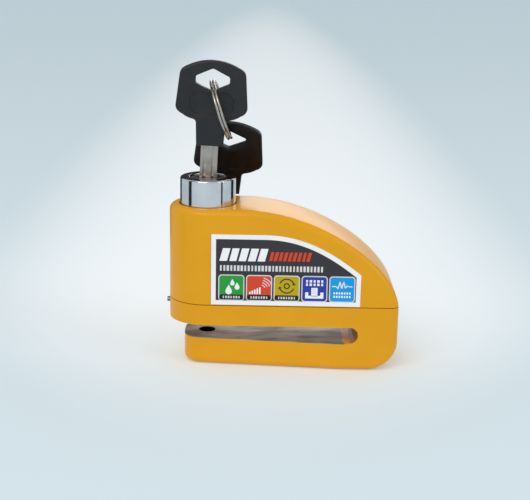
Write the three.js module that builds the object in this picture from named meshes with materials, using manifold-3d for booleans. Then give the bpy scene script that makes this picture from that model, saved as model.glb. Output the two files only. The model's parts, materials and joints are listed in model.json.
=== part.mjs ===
// Alarm disc brake lock: a die-cast body with a U slot for the brake disc, a push-down lock barrel
// with a turning key, the alarm's battery and sounder under a cover, and two keys on a split ring.
// Millimetres. +Z up along the barrel, +X towards the closed end of the slot, the labelled face
// towards -Y. The origin is on the barrel axis, on the flat underside that the lock stands on.
// Rest pose: unlocked, barrel up, key in the barrel.
import * as THREE from 'three';
import { mergeVertices } from 'three/addons/utils/BufferGeometryUtils.js';
import Module from 'manifold-3d';

const wasm = await Module();
wasm.setup();

// Housing
const HALF_DEPTH = 14.8;
const RIGHT_END = 75;
const SEAM = 25.5;
const SEAM_GAP = 0.3;
const TOP = 63;
const DOME_START = 14;
const DOME_SHOULDER = 43.5;
const DOME_KNEE_ABOVE_SEAM = 16;
const DOME_END_BELOW_SEAM = 2;
const PLAN_CORNER = 3.5;
const FOOT_CORNER = 12;
const EDGE_FILLET = 2.5;
const COVER_WALL = 2;
const SEAM_STUD = { radius: 1, height: 23.4, proud: 1.1, inner: -12.6 };

// Disc slot and lower jaw
const SLOT_FLOOR = 11;
const SLOT_CEILING = 17.5;
const SLOT_END = 59.1;
const JAW_TIP = -8.8;
const JAW_TIP_HALF_DEPTH = 10.1;
const JAW_ROOT = 50;
const JAW_FILLET = 2.6;
const PIN_HOLE_RADIUS = 3.3;
const PIN_HOLE_FLOOR = 3;

// Barrel, its tower in the body, and its travel
const BARREL_RADIUS = 10.75;
const BARREL_TOP = 73.3;
const BARREL_FOOT = 38;
const BARREL_TRAVEL = 10.3;
const TOWER_BORE = 10.9;
const TOWER_RADIUS = 12.2;
const TOWER_TOP = 59.7;
const TOWER_FLOOR = 20;
const COVER_BORE = 11.2;
const PLUG_BORE = 7;
const CAM_BORE = 8.7;
const CAM_CHAMBER_TOP = 46.4;
const LOCK_PIN_RADIUS = 3;
const LOCK_PIN_TIP = 18;

// Latch: a slug in the barrel moved by a spiral slot in the cam
const SLUG_BOTTOM = 41.1;
const SLUG_HEIGHT = 3.4;
const SLUG_HALF_WIDTH = 3;
const SLUG_INNER = 2.7;
const SLUG_REACH = 10.6;
const SLUG_TRAVEL = 1.4;
const PEG_RADIUS = 0.85;
const PEG_START = 3.8;
const POCKET_MARGIN = 0.5;
const STOP_PIN_HEIGHT = 49.5;
const STOP_PIN_RADIUS = 1.25;

// Plug, cam and wafers
const PLUG_RADIUS = 6.85;
const PLUG_BOTTOM = 46.6;
const PLUG_TOP = 72.9;
const PLUG_TAIL = 3.4;
const CAM_BOTTOM = 44.8;
const CAM_THICKNESS = 1.4;
const CAM_RADIUS = 7.6;
const WAFER_COUNT = 5;
const WAFER_FIRST = 54.5;
const WAFER_PITCH = 3.2;
const WAFER_THICKNESS = 1;

// Keys, in a frame whose origin is where the blade meets the barrel face
const BLADE_WIDTH = 6.6;
const BLADE_THICKNESS = 2.2;
const BLADE_INSERTED = 22;
const BLADE_SHOWING = 11.9;
const TANG = 6;
const NECK_HALF_WIDTH = 5.2;
const NECK_HALF_AT_BOW = 5.8;
const NECK_LENGTH = 10;
const BOW_HEIGHT = 22.7;
const BOW_THICKNESS = 3.4;
const BOW_TOP = BLADE_SHOWING + NECK_LENGTH + BOW_HEIGHT;
const EYE_HEIGHT = BOW_TOP - 7.4;
const EYE_HALF_HEIGHT = 4.35;
const KEY_LEAN = THREE.MathUtils.degToRad(2.5);

// Split ring through both keys
const RING_RADIUS = 11.5;
const RING_WIRE = 1;
const RING_COIL_STEP = 1.12;
const RING_SLANT = THREE.MathUtils.degToRad(18);
const RING_BACK_OFFSET = 5;
const SPARE_TILT = THREE.MathUtils.degToRad(22);
const SPARE_ROLL = THREE.MathUtils.degToRad(3);
const SPARE_ANGLE_ON_RING = THREE.MathUtils.degToRad(26.3);

// Cover screws
const SCREW_PLACES = [[19.5, -9.8], [19.5, 9.8], [56, -9.8], [56, 9.8]];
const SCREW_RADIUS = 1.25;
const SCREW_HEAD_RADIUS = 2.75;
const COVER_BOSS_TOP = 36;

// Electronics
const BOARD_BOTTOM = 27.5;
const BOARD_TOP = 29.1;
const CELL_RADIUS = 5.8;
const CELL_HEIGHT = 5.4;
const CELL_ROWS = 3;
const CELL_COLUMNS = [30.25, 42.45];
const CELL_Y = -5.95;
const CELL_FLOOR = 31.1;
const CONTACT_THICKNESS = 0.5;
const BUZZER = { x: 34, z: 43.5, radius: 11.5 };

const FINE = 48;
const MEDIUM = 24;
const COARSE = 12;

// ---- Materials -------------------------------------------------------------------------------

const finish = (color, roughness, metalness) =>
  new THREE.MeshStandardMaterial({ color, roughness, metalness });

const PAINT = finish(0xe0a018, 0.35, 0.25);
const CHROME = finish(0xc8c8cc, 0.15, 1);
const STEEL = finish(0x9a9690, 0.35, 1);
const BRASS = finish(0xb8943c, 0.35, 1);
const BLACK_PLASTIC = finish(0x2d2d30, 0.5, 0);
const RUBBER = finish(0x18181a, 0.8, 0);
const LABEL_INK = finish(0x3c3a3e, 0.4, 0);
const BOARD_GREEN = finish(0x1f6b3a, 0.5, 0);
const CAGE_GREY = finish(0x8a8d90, 0.6, 0);
const MAGNET_GREY = finish(0x55565a, 0.3, 0.9);
const GLASS = finish(0x9fb4a8, 0.1, 0);
const LEAD_RED = finish(0xb0281e, 0.5, 0);

// ---- Shape helpers ---------------------------------------------------------------------------

/** A closed geometry as a solid that can be joined and cut. */
function solid(geometry) {
  const bare = geometry.index ? geometry.toNonIndexed() : geometry.clone();
  bare.deleteAttribute('normal');
  bare.deleteAttribute('uv');
  const merged = mergeVertices(bare, 1e-4);
  const mesh = new wasm.Mesh({
    numProp: 3,
    vertProperties: merged.attributes.position.array,
    triVerts: new Uint32Array(merged.index.array),
  });
  return new wasm.Manifold(mesh);
}

/** The triangles of a solid as a geometry with flat normals. */
function geometryOf(body) {
  const mesh = body.getMesh();
  const geometry = new THREE.BufferGeometry();
  geometry.setAttribute('position', new THREE.BufferAttribute(mesh.vertProperties, 3));
  geometry.setIndex(new THREE.BufferAttribute(mesh.triVerts, 1));
  geometry.computeVertexNormals();
  return geometry;
}

const join = (...geometries) => geometries.map(solid).reduce((sum, next) => sum.add(next));

const cut = (body, ...geometries) =>
  geometries.map(solid).reduce((left, next) => left.subtract(next), body);

function box([x0, x1], [y0, y1], [z0, z1]) {
  const geometry = new THREE.BoxGeometry(x1 - x0, y1 - y0, z1 - z0);
  return geometry.translate((x0 + x1) / 2, (y0 + y1) / 2, (z0 + z1) / 2);
}

/** A cylinder along Z. */
function rod(radius, z0, z1, [x, y] = [0, 0], segments = MEDIUM) {
  const geometry = new THREE.CylinderGeometry(radius, radius, z1 - z0, segments);
  return geometry.rotateX(Math.PI / 2).translate(x, y, (z0 + z1) / 2);
}

/** A cylinder along Y. */
function rodAlongY(radius, y0, y1, [x, z], segments = MEDIUM) {
  const geometry = new THREE.CylinderGeometry(radius, radius, y1 - y0, segments);
  return geometry.translate(x, (y0 + y1) / 2, z);
}

/** A cylinder along X. */
function rodAlongX(radius, x0, x1, [y, z], segments = COARSE) {
  const geometry = new THREE.CylinderGeometry(radius, radius, x1 - x0, segments);
  return geometry.rotateZ(Math.PI / 2).translate((x0 + x1) / 2, y, z);
}

/** A body turned about Z from a closed outline of [radius, height] points, upwards outside. */
function turned(outline, segments = FINE) {
  const points = outline.map(([radius, height]) => new THREE.Vector2(radius, height));
  return new THREE.LatheGeometry(points, segments).rotateX(Math.PI / 2);
}

/** An XY outline raised from z0 to z1, with both rims rounded by the fillet. */
function raised(shape, z0, z1, fillet = 0, curveSegments = COARSE) {
  const geometry = new THREE.ExtrudeGeometry(shape, {
    depth: z1 - z0 - 2 * fillet,
    bevelEnabled: fillet > 0,
    bevelSize: fillet,
    bevelOffset: -fillet,
    bevelThickness: fillet,
    bevelSegments: 3,
    curveSegments,
  });
  return geometry.translate(0, 0, z0 + fillet);
}

/** An XZ outline carried from y0 to y1, with both rims rounded by the fillet. */
function carried(shape, y0, y1, fillet = 0, curveSegments = COARSE) {
  return raised(shape, -y1, -y0, fillet, curveSegments).rotateX(Math.PI / 2);
}

/** A round wire along a curve. */
function wire(curve, radius, steps, sides = 8) {
  const section = new THREE.Shape().absarc(0, 0, radius, 0, 2 * Math.PI);
  return new THREE.ExtrudeGeometry(section, {
    steps,
    extrudePath: curve,
    curveSegments: sides / 2,
    bevelEnabled: false,
  });
}

function part(name, shape, material) {
  const geometry = shape instanceof THREE.BufferGeometry ? shape : geometryOf(shape);
  const mesh = new THREE.Mesh(geometry, material);
  mesh.name = name;
  return mesh;
}

// ---- Housing ---------------------------------------------------------------------------------

/** The housing seen from the front: flat top over the barrel, then one long curve to the foot. */
function sideOutline(inset) {
  const right = RIGHT_END - inset;
  const top = TOP + 0.02 - inset;
  const left = -2 * HALF_DEPTH;
  return new THREE.Shape()
    .moveTo(left, inset)
    .lineTo(right - FOOT_CORNER, inset)
    .absarc(right - FOOT_CORNER, FOOT_CORNER + inset, FOOT_CORNER, -Math.PI / 2, 0)
    .lineTo(right, SEAM - DOME_END_BELOW_SEAM)
    .bezierCurveTo(right, SEAM + DOME_KNEE_ABOVE_SEAM, DOME_SHOULDER, top, DOME_START, top)
    .lineTo(left, top)
    .closePath();
}

/** The housing seen from above: round about the barrel axis, small corners at the closed end. */
function planOutline(inset) {
  const half = HALF_DEPTH - inset;
  const right = RIGHT_END + 0.02 - inset;
  const corner = PLAN_CORNER - inset;
  return new THREE.Shape()
    .moveTo(0, -half)
    .lineTo(right - corner, -half)
    .absarc(right - corner, -half + corner, corner, -Math.PI / 2, 0)
    .lineTo(right, half - corner)
    .absarc(right - corner, half - corner, corner, 0, Math.PI / 2)
    .lineTo(0, half)
    .absarc(0, 0, half, Math.PI / 2, 1.5 * Math.PI);
}

/** The whole outer form of body and cover, shrunk by an inset. */
function envelope(inset, fillet) {
  const half = HALF_DEPTH + 0.02 - inset;
  const front = solid(carried(sideOutline(inset), -half, half, fillet, 16));
  return front.intersect(solid(raised(planOutline(inset), -30, TOP - inset, fillet, 14)));
}

function jawOutline() {
  const half = HALF_DEPTH - 0.1;
  const tip = JAW_TIP_HALF_DEPTH;
  return new THREE.Shape()
    .moveTo(JAW_ROOT + 8, -half)
    .lineTo(JAW_ROOT + 8, half)
    .lineTo(JAW_ROOT, half)
    .lineTo(-1.5, tip)
    .bezierCurveTo(-6, tip - 0.4, JAW_TIP, 7, JAW_TIP, 2.5)
    .lineTo(JAW_TIP, -2.5)
    .bezierCurveTo(JAW_TIP, -7, -6, 0.4 - tip, -1.5, -tip)
    .lineTo(JAW_ROOT, -half)
    .closePath();
}

function slotOutline() {
  const radius = (SLOT_CEILING - SLOT_FLOOR) / 2;
  const middle = SLOT_FLOOR + radius;
  return new THREE.Shape()
    .moveTo(-40, SLOT_FLOOR)
    .lineTo(SLOT_END - radius, SLOT_FLOOR)
    .absarc(SLOT_END - radius, middle, radius, -Math.PI / 2, Math.PI / 2)
    .lineTo(-40, SLOT_CEILING)
    .closePath();
}

/** A pocket in the tower wall for the slug, at the slug's height less a barrel drop. */
function slugPocket(drop) {
  const low = SLUG_BOTTOM - drop - POCKET_MARGIN;
  const high = SLUG_BOTTOM + SLUG_HEIGHT - drop + POCKET_MARGIN;
  const half = SLUG_HALF_WIDTH + POCKET_MARGIN;
  return box([8, SLUG_REACH + SLUG_TRAVEL + 1.2], [-half, half], [low, high]);
}

function lowerBody() {
  const half = 2 * HALF_DEPTH;
  const middle = (SLOT_FLOOR + SLOT_CEILING) / 2;
  const outer = envelope(0, EDGE_FILLET);
  const bridge = outer.intersect(solid(box([-30, 90], [-half, half], [middle, SEAM])));
  const column = outer.intersect(solid(box([JAW_ROOT, 90], [-half, half], [-1, middle + 1])));
  const jaw = solid(raised(jawOutline(), 0, middle + JAW_FILLET, JAW_FILLET, 8));
  const tower = join(
    rod(TOWER_RADIUS, SEAM - 1, TOWER_TOP, [0, 0], FINE),
    box([8, 16], [-4.6, 4.6], [SEAM - 1, 58]),
    ...[[24, -6.5], [24, 6.5], [61, 0]].map((place) => rod(1.8, SEAM - 1, BOARD_BOTTOM, place, COARSE)),
  );
  const cuts = [
    carried(slotOutline(), -half, half),
    rod(PIN_HOLE_RADIUS, PIN_HOLE_FLOOR, TOWER_FLOOR + 1),
    rod(TOWER_BORE, TOWER_FLOOR, TOP, [0, 0], FINE),
    slugPocket(0),
    slugPocket(BARREL_TRAVEL),
    rodAlongX(STOP_PIN_RADIUS + 0.1, 9, 17, [0, STOP_PIN_HEIGHT]),
    rodAlongX(SEAM_STUD.radius + 0.1, -half, SEAM_STUD.inner + 0.1, [0, SEAM_STUD.height]),
  ];
  for (const place of SCREW_PLACES) {
    cuts.push(rod(SCREW_RADIUS + 0.4, SLOT_CEILING - 1, SEAM + 1, place, COARSE));
    cuts.push(rod(SCREW_HEAD_RADIUS + 0.3, SLOT_CEILING - 1, SLOT_CEILING + 3, place));
  }
  return part('lower_body', cut(bridge.add(column).add(jaw).add(tower), ...cuts), PAINT);
}

function soundHoles() {
  const ring = Array.from({ length: 6 }, (_, i) => (i * Math.PI) / 3);
  const places = [[BUZZER.x, BUZZER.z]];
  for (const angle of ring) {
    places.push([BUZZER.x + 5 * Math.cos(angle), BUZZER.z + 5 * Math.sin(angle)]);
  }
  return places.map((place) => rodAlongY(1, HALF_DEPTH - COVER_WALL - 1, HALF_DEPTH + 1, place, COARSE));
}

function upperCover() {
  const half = 2 * HALF_DEPTH;
  const above = solid(box([-30, 90], [-half, half], [SEAM + SEAM_GAP, TOP + 1]));
  const shell = envelope(0, EDGE_FILLET).subtract(envelope(COVER_WALL, 0.8)).intersect(above);
  const bosses = join(
    ...SCREW_PLACES.map((place) => rod(3.2, SEAM + SEAM_GAP, COVER_BOSS_TOP, place, COARSE)),
  ).intersect(envelope(COVER_WALL / 2, 1));
  const cuts = [rod(COVER_BORE, TOWER_TOP, TOP + 1, [0, 0], FINE), ...soundHoles()];
  for (const place of SCREW_PLACES) {
    cuts.push(rod(SCREW_RADIUS + 0.15, SEAM - 1, COVER_BOSS_TOP - 2, place, COARSE));
  }
  return part('upper_cover', cut(shell.add(bosses), ...cuts), PAINT);
}

function seamGasket() {
  const outer = solid(raised(planOutline(0.6), SEAM, SEAM + SEAM_GAP));
  return part('seam_gasket', cut(outer, raised(planOutline(1.8), SEAM - 1, SEAM + 1)), RUBBER);
}

function barrelWiper() {
  const inner = BARREL_RADIUS + 0.1;
  const low = TOWER_TOP;
  const high = TOP - COVER_WALL - 0.1;
  const outline = [[inner, low], [12.1, low], [12.1, high], [inner, high], [inner, low]];
  return part('barrel_wiper', turned(outline), RUBBER);
}

/** The printed front plate: straight foot and left edge, and a right edge that follows the dome. */
function frontLabel() {
  const outline = new THREE.Shape()
    .moveTo(2.1, SEAM + 0.6)
    .lineTo(59.4, SEAM + 0.6)
    .lineTo(59.5, SEAM + 13.2)
    .splineThru([
      new THREE.Vector2(54.5, SEAM + 16.9),
      new THREE.Vector2(47.8, SEAM + 21),
      new THREE.Vector2(40.4, SEAM + 24.9),
      new THREE.Vector2(32.9, SEAM + 27.3),
      new THREE.Vector2(24.6, SEAM + 28.4),
    ])
    .lineTo(2.1, SEAM + 28.4)
    .closePath();
  const front = HALF_DEPTH + 0.3;
  return part('label_front', carried(outline, -front, -HALF_DEPTH - 0.05, 0, 3), LABEL_INK);
}

function coverScrew(index, [x, y]) {
  const head = rod(SCREW_HEAD_RADIUS, SLOT_CEILING + 0.4, SLOT_CEILING + 3, [x, y]);
  const shank = rod(SCREW_RADIUS, SLOT_CEILING + 2, COVER_BOSS_TOP - 3, [x, y], COARSE);
  const socket = rod(1.4, SLOT_CEILING, SLOT_CEILING + 1.9, [x, y], 6);
  return part(`cover_screw_${index}`, cut(join(head, shank), socket), STEEL);
}

function stopPin() {
  return part('stop_pin', rodAlongX(STOP_PIN_RADIUS, 9.7, 15.8, [0, STOP_PIN_HEIGHT]), STEEL);
}

/** The small stud that shows at the rounded end, just under the seam. */
function seamStud() {
  const tip = -HALF_DEPTH - SEAM_STUD.proud;
  return part('seam_stud', rodAlongX(SEAM_STUD.radius, tip, SEAM_STUD.inner, [0, SEAM_STUD.height]), STEEL);
}

// ---- Alarm -----------------------------------------------------------------------------------

function circuitBoard() {
  const board = solid(box([17, 66], [-12.3, 12.3], [BOARD_BOTTOM, BOARD_TOP]));
  const clearances = SCREW_PLACES.map((place) => rod(4, BOARD_BOTTOM - 1, BOARD_TOP + 1, place));
  return part('circuit_board', cut(board, ...clearances), BOARD_GREEN);
}

function batteryCage() {
  const [first, last] = CELL_COLUMNS;
  const reach = CELL_RADIUS + 1.1;
  const floor = BOARD_TOP + 0.2;
  const top = CELL_FLOOR + CELL_ROWS * CELL_HEIGHT - 1;
  const block = solid(box([first - reach, last + reach], [-12.5, 0.6], [floor, top]));
  const wells = CELL_COLUMNS.map((x) =>
    rod(CELL_RADIUS + 0.12, CELL_FLOOR - CONTACT_THICKNESS, top + 1, [x, CELL_Y]));
  const window = box([first - 3, last + 3], [-13, -8.4], [CELL_FLOOR + 3, top + 1]);
  return part('battery_cage', cut(block, ...wells, window), CAGE_GREY);
}

/** Three button cells in each of two stacks. */
function buttonCells() {
  const cells = [];
  for (const x of CELL_COLUMNS) {
    for (let row = 0; row < CELL_ROWS; row += 1) {
      const low = CELL_FLOOR + row * CELL_HEIGHT;
      const cap = rod(CELL_RADIUS - 1.1, low, low + 0.6, [x, CELL_Y]);
      const can = rod(CELL_RADIUS, low + 0.5, low + CELL_HEIGHT, [x, CELL_Y]);
      cells.push(part(`button_cell_${cells.length + 1}`, join(cap, can), STEEL));
    }
  }
  return cells;
}

function batteryContacts() {
  const [first, last] = CELL_COLUMNS;
  const top = CELL_FLOOR + CELL_ROWS * CELL_HEIGHT;
  const lower = rod(CELL_RADIUS - 0.8, CELL_FLOOR - CONTACT_THICKNESS, CELL_FLOOR, [first, CELL_Y]);
  const bridge = join(
    rod(CELL_RADIUS - 1, top, top + CONTACT_THICKNESS, [first, CELL_Y]),
    rod(CELL_RADIUS - 1, top, top + CONTACT_THICKNESS, [last, CELL_Y]),
    box([first, last], [CELL_Y - 2, CELL_Y + 2], [top, top + CONTACT_THICKNESS]),
  );
  return [part('contact_lower', lower, BRASS), part('contact_bridge', bridge, BRASS)];
}

function buzzer() {
  const centre = [BUZZER.x, BUZZER.z];
  const block = solid(rodAlongY(BUZZER.radius, 7, 12.5, centre, FINE));
  const cup = cut(block, rodAlongY(BUZZER.radius - 0.8, 8, 13, centre, FINE));
  const disc = rodAlongY(BUZZER.radius - 1.1, 10.5, 10.8, centre, FINE);
  return [part('buzzer_cup', cup, BLACK_PLASTIC), part('buzzer_disc', disc, BRASS)];
}

function buzzerLead(index, x) {
  const low = new THREE.Vector3(x - 3, 6, BOARD_TOP + 0.05);
  const bend = new THREE.Vector3(x - 2.4, 5.9, BOARD_TOP + 3.4);
  const high = new THREE.Vector3(x, 6.6, BUZZER.z - 7);
  return part(`buzzer_lead_${index}`, wire(new THREE.QuadraticBezierCurve3(low, bend, high), 0.35, 8, 4), LEAD_RED);
}

function boardParts() {
  const chip = box([51, 58], [-4.5, 2.5], [BOARD_TOP, BOARD_TOP + 1.6]);
  const sensor = rod(2.6, BOARD_TOP, BOARD_TOP + 7, [62.5, -5]);
  const coil = rod(3.2, BOARD_TOP, BOARD_TOP + 5.4, [62, 4.8]);
  const capacitor = rod(2.4, BOARD_TOP, BOARD_TOP + 10, [26, 3.6]);
  const reed = rodAlongY(1, -4.5, 4.5, [18.4, BOARD_TOP + 1.1], COARSE);
  return [
    part('control_chip', chip, BLACK_PLASTIC),
    part('vibration_sensor', sensor, STEEL),
    part('boost_coil', coil, BLACK_PLASTIC),
    part('storage_capacitor', capacitor, BLACK_PLASTIC),
    part('reed_switch', reed, GLASS),
  ];
}

// ---- Barrel ----------------------------------------------------------------------------------

class Helix extends THREE.Curve {
  constructor(radius, low, high, turns) {
    super();
    Object.assign(this, { radius, low, high, turns });
  }

  getPoint(t, target = new THREE.Vector3()) {
    const angle = 2 * Math.PI * this.turns * t;
    const height = THREE.MathUtils.lerp(this.low, this.high, t);
    return target.set(this.radius * Math.cos(angle), this.radius * Math.sin(angle), height);
  }
}

function returnSpring() {
  const radius = 0.6;
  const curve = new Helix(8.2, TOWER_FLOOR + radius + 0.1, BARREL_FOOT - radius - 0.1, 5.5);
  return part('return_spring', wire(curve, radius, 110, 6), STEEL);
}

function barrelSleeve() {
  const outline = [
    [CAM_BORE, BARREL_FOOT], [BARREL_RADIUS, BARREL_FOOT], [BARREL_RADIUS, BARREL_TOP - 1],
    [BARREL_RADIUS - 0.9, BARREL_TOP], [PLUG_BORE + 0.4, BARREL_TOP], [PLUG_BORE, BARREL_TOP - 0.4],
    [PLUG_BORE, CAM_CHAMBER_TOP], [CAM_BORE, CAM_CHAMBER_TOP], [CAM_BORE, BARREL_FOOT],
  ];
  const margin = 0.3;
  const window = box(
    [6, 12],
    [-SLUG_HALF_WIDTH - margin, SLUG_HALF_WIDTH + margin],
    [SLUG_BOTTOM - margin, SLUG_BOTTOM + SLUG_HEIGHT + margin],
  );
  const reach = STOP_PIN_RADIUS + 0.2;
  const groove = box(
    [9.3, 12],
    [-reach, reach],
    [STOP_PIN_HEIGHT - reach, STOP_PIN_HEIGHT + BARREL_TRAVEL + reach],
  );
  return part('barrel_sleeve', cut(solid(turned(outline)), window, groove), CHROME);
}

function barrelEndCap() {
  const cap = solid(rod(CAM_BORE - 0.1, BARREL_FOOT, BARREL_FOOT + 2.8, [0, 0], FINE));
  const pinHole = rod(LOCK_PIN_RADIUS + 0.05, BARREL_FOOT - 1, BARREL_FOOT + 4);
  const magnetHole = rod(1.6, BARREL_FOOT - 1, BARREL_FOOT + 2.2, [-5, 0], COARSE);
  return part('barrel_end_cap', cut(cap, pinHole, magnetHole), STEEL);
}

function lockPin() {
  const r = LOCK_PIN_RADIUS;
  const outline = [
    [0, LOCK_PIN_TIP], [r - 1, LOCK_PIN_TIP], [r, LOCK_PIN_TIP + 1],
    [r, BARREL_FOOT + 2.8], [0, BARREL_FOOT + 2.8],
  ];
  return part('lock_pin', turned(outline, MEDIUM), STEEL);
}

function armingMagnet() {
  return part('arming_magnet', rod(1.45, BARREL_FOOT + 0.2, BARREL_FOOT + 2, [-5, 0], COARSE), MAGNET_GREY);
}

function lockingSlug() {
  const top = SLUG_BOTTOM + SLUG_HEIGHT;
  const bar = solid(
    box([SLUG_INNER, 12], [-SLUG_HALF_WIDTH, SLUG_HALF_WIDTH], [SLUG_BOTTOM, top]),
  ).intersect(solid(rod(SLUG_REACH, SLUG_BOTTOM - 1, top + 1, [0, 0], FINE)));
  const peg = rod(PEG_RADIUS, top - 1, CAM_BOTTOM + 1.2, [PEG_START, 0], COARSE);
  return part('locking_slug', bar.add(solid(peg)), STEEL);
}

// ---- Plug ------------------------------------------------------------------------------------

/** A box in the leaning key's frame, moved to the barrel. */
function alongKey(geometry) {
  return geometry.rotateY(KEY_LEAN).translate(0, 0, BARREL_TOP);
}

const waferHeight = (index) => WAFER_FIRST + index * WAFER_PITCH;

function keyway(clearance) {
  const halfWidth = BLADE_WIDTH / 2 + clearance;
  const halfThickness = BLADE_THICKNESS / 2 + clearance;
  return alongKey(box([-halfWidth, halfWidth], [-halfThickness, halfThickness], [-BLADE_INSERTED - 1, 5]));
}

function keyPlug() {
  const barrel = turned([
    [0, PLUG_BOTTOM], [PLUG_RADIUS, PLUG_BOTTOM], [PLUG_RADIUS, PLUG_TOP - 0.4],
    [PLUG_RADIUS - 0.4, PLUG_TOP], [0, PLUG_TOP],
  ]);
  const half = PLUG_TAIL / 2;
  const tail = box([-half, half], [-half, half], [CAM_BOTTOM, PLUG_BOTTOM + 1]);
  const slots = [];
  for (let i = 0; i < WAFER_COUNT; i += 1) {
    const middle = waferHeight(i);
    const reach = WAFER_THICKNESS / 2 + 0.2;
    slots.push(box([-5.6, 5.6], [-3.1, 3.1], [middle - reach, middle + reach]));
  }
  return part('key_plug', cut(join(barrel, tail), keyway(0.25), ...slots), BRASS);
}

function wafer(index) {
  const middle = waferHeight(index);
  const reach = WAFER_THICKNESS / 2;
  const plate = solid(box([-5.3, 5.3], [-2.8, 2.8], [middle - reach, middle + reach]));
  return part(`wafer_${index + 1}`, cut(plate, keyway(0.3)), BRASS);
}

/** The cam's slot: the peg's distance from the axis grows evenly as the plug turns. */
function spiralSlot() {
  const half = PEG_RADIUS + 0.15;
  const overrun = 0.28;
  const steps = 16;
  const sweep = Math.PI / 2 + 2 * overrun;
  const edge = (side) =>
    Array.from({ length: steps + 1 }, (_, i) => {
      const turn = -overrun + (i / steps) * sweep;
      const radius = PEG_START + (SLUG_TRAVEL * turn) / (Math.PI / 2) + side * half;
      return new THREE.Vector2(radius * Math.cos(turn), -radius * Math.sin(turn));
    });
  return new THREE.Shape([...edge(1), ...edge(-1).reverse()]);
}

function plugCam() {
  const disc = solid(rod(CAM_RADIUS, CAM_BOTTOM, CAM_BOTTOM + CAM_THICKNESS, [0, 0], FINE));
  const half = PLUG_TAIL / 2 + 0.1;
  const square = box([-half, half], [-half, half], [CAM_BOTTOM - 1, CAM_BOTTOM + 3]);
  const slot = raised(spiralSlot(), CAM_BOTTOM - 1, CAM_BOTTOM + 3);
  return part('plug_cam', cut(disc, square, slot), STEEL);
}

function camScrew() {
  return part('cam_screw', rod(2.3, CAM_BOTTOM - 1.4, CAM_BOTTOM), STEEL);
}

// ---- Keys and ring ---------------------------------------------------------------------------

/** One edge of the blade, from tip to tang, with a cut at each wafer. */
function bladeEdge(side, depths) {
  const half = BLADE_WIDTH / 2;
  const points = [[2, -BLADE_INSERTED], [half, -BLADE_INSERTED + 1.6]];
  depths.forEach((depth, i) => {
    const middle = waferHeight(i) - BARREL_TOP;
    points.push([half, middle - 1.2], [half - depth, middle - 0.5]);
    points.push([half - depth, middle + 0.5], [half, middle + 1.2]);
  });
  points.push([half, BLADE_SHOWING + TANG]);
  return points.map(([x, z]) => new THREE.Vector2(side * x, z));
}

function keyBlade(name) {
  const right = bladeEdge(1, [0.9, 0.4, 1.1, 0.6, 0.8]);
  const left = bladeEdge(-1, [0.5, 1, 0.6, 1.1, 0.4]).reverse();
  const half = BLADE_THICKNESS / 2;
  const blank = solid(carried(new THREE.Shape([...right, ...left]), -half, half));
  const grooves = [
    box([-2.2, -0.9], [-2, -half + 0.5], [-BLADE_INSERTED - 1, BLADE_SHOWING]),
    box([1.1, 2], [-2, -half + 0.5], [-BLADE_INSERTED - 1, BLADE_SHOWING]),
    box([0.9, 2.2], [half - 0.5, 2], [-BLADE_INSERTED - 1, BLADE_SHOWING]),
    box([-2, -1.1], [half - 0.5, 2], [-BLADE_INSERTED - 1, BLADE_SHOWING]),
  ];
  return part(name, cut(blank, ...grooves), STEEL);
}

/** The moulded grip: a tapered neck under a broad head, arched at the top and sloped at the foot. */
function bowOutline() {
  const neckTop = BLADE_SHOWING + NECK_LENGTH;
  const shoulder = BOW_TOP - 5.6;
  return new THREE.Shape()
    .moveTo(-NECK_HALF_WIDTH, BLADE_SHOWING)
    .lineTo(NECK_HALF_WIDTH, BLADE_SHOWING)
    .lineTo(NECK_HALF_AT_BOW, neckTop)
    .quadraticCurveTo(9, neckTop + 0.4, 11.2, neckTop + 1.9)
    .quadraticCurveTo(13.9, neckTop + 3.1, 13.7, neckTop + 5.4)
    .lineTo(12.6, shoulder)
    .quadraticCurveTo(12.4, shoulder + 1.7, 10.8, shoulder + 2.6)
    .quadraticCurveTo(5.4, BOW_TOP, 0, BOW_TOP)
    .quadraticCurveTo(-5.4, BOW_TOP, -10.8, shoulder + 2.6)
    .quadraticCurveTo(-12.4, shoulder + 1.7, -12.6, shoulder)
    .lineTo(-13.7, neckTop + 5.4)
    .quadraticCurveTo(-13.9, neckTop + 3.1, -11.2, neckTop + 1.9)
    .quadraticCurveTo(-9, neckTop + 0.4, -NECK_HALF_AT_BOW, neckTop)
    .closePath();
}

function eyeOutline() {
  const side = 6.5;
  const low = EYE_HEIGHT - 1.3;
  const high = EYE_HEIGHT + 1.3;
  return new THREE.Shape()
    .moveTo(0, EYE_HEIGHT - EYE_HALF_HEIGHT)
    .lineTo(side, low)
    .lineTo(side, high)
    .lineTo(0, EYE_HEIGHT + EYE_HALF_HEIGHT)
    .lineTo(-side, high)
    .lineTo(-side, low)
    .closePath();
}

function keyBow(name) {
  const half = BOW_THICKNESS / 2;
  const grip = solid(carried(bowOutline(), -half, half, 0.7, 5));
  const panelMiddle = BOW_TOP - 16.3;
  const panel = (face) =>
    box([-8.4, 8.4], [face - 0.4, face + 0.4], [panelMiddle - 4.2, panelMiddle + 4.2]);
  const gap = 0.06;
  const reach = [BLADE_WIDTH / 2 + gap, BLADE_THICKNESS / 2 + gap];
  const socket = box(
    [-reach[0], reach[0]],
    [-reach[1], reach[1]],
    [BLADE_SHOWING - 1, BLADE_SHOWING + TANG + gap],
  );
  const cuts = [carried(eyeOutline(), -5, 5), panel(-half), panel(half), socket];
  return part(name, cut(grip, ...cuts), BLACK_PLASTIC);
}

/** Two coils of wire side by side, joined by a short step, in the XY plane. */
class SplitRingCurve extends THREE.Curve {
  getPoint(t, target = new THREE.Vector3()) {
    const angle = 2 * Math.PI * THREE.MathUtils.lerp(0.04, 1.96, t);
    const step = THREE.MathUtils.smoothstep(angle, 1.84 * Math.PI, 2.16 * Math.PI);
    const offset = RING_COIL_STEP * (step - 0.5);
    return target.set(RING_RADIUS * Math.cos(angle), RING_RADIUS * Math.sin(angle), offset);
  }
}

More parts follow.
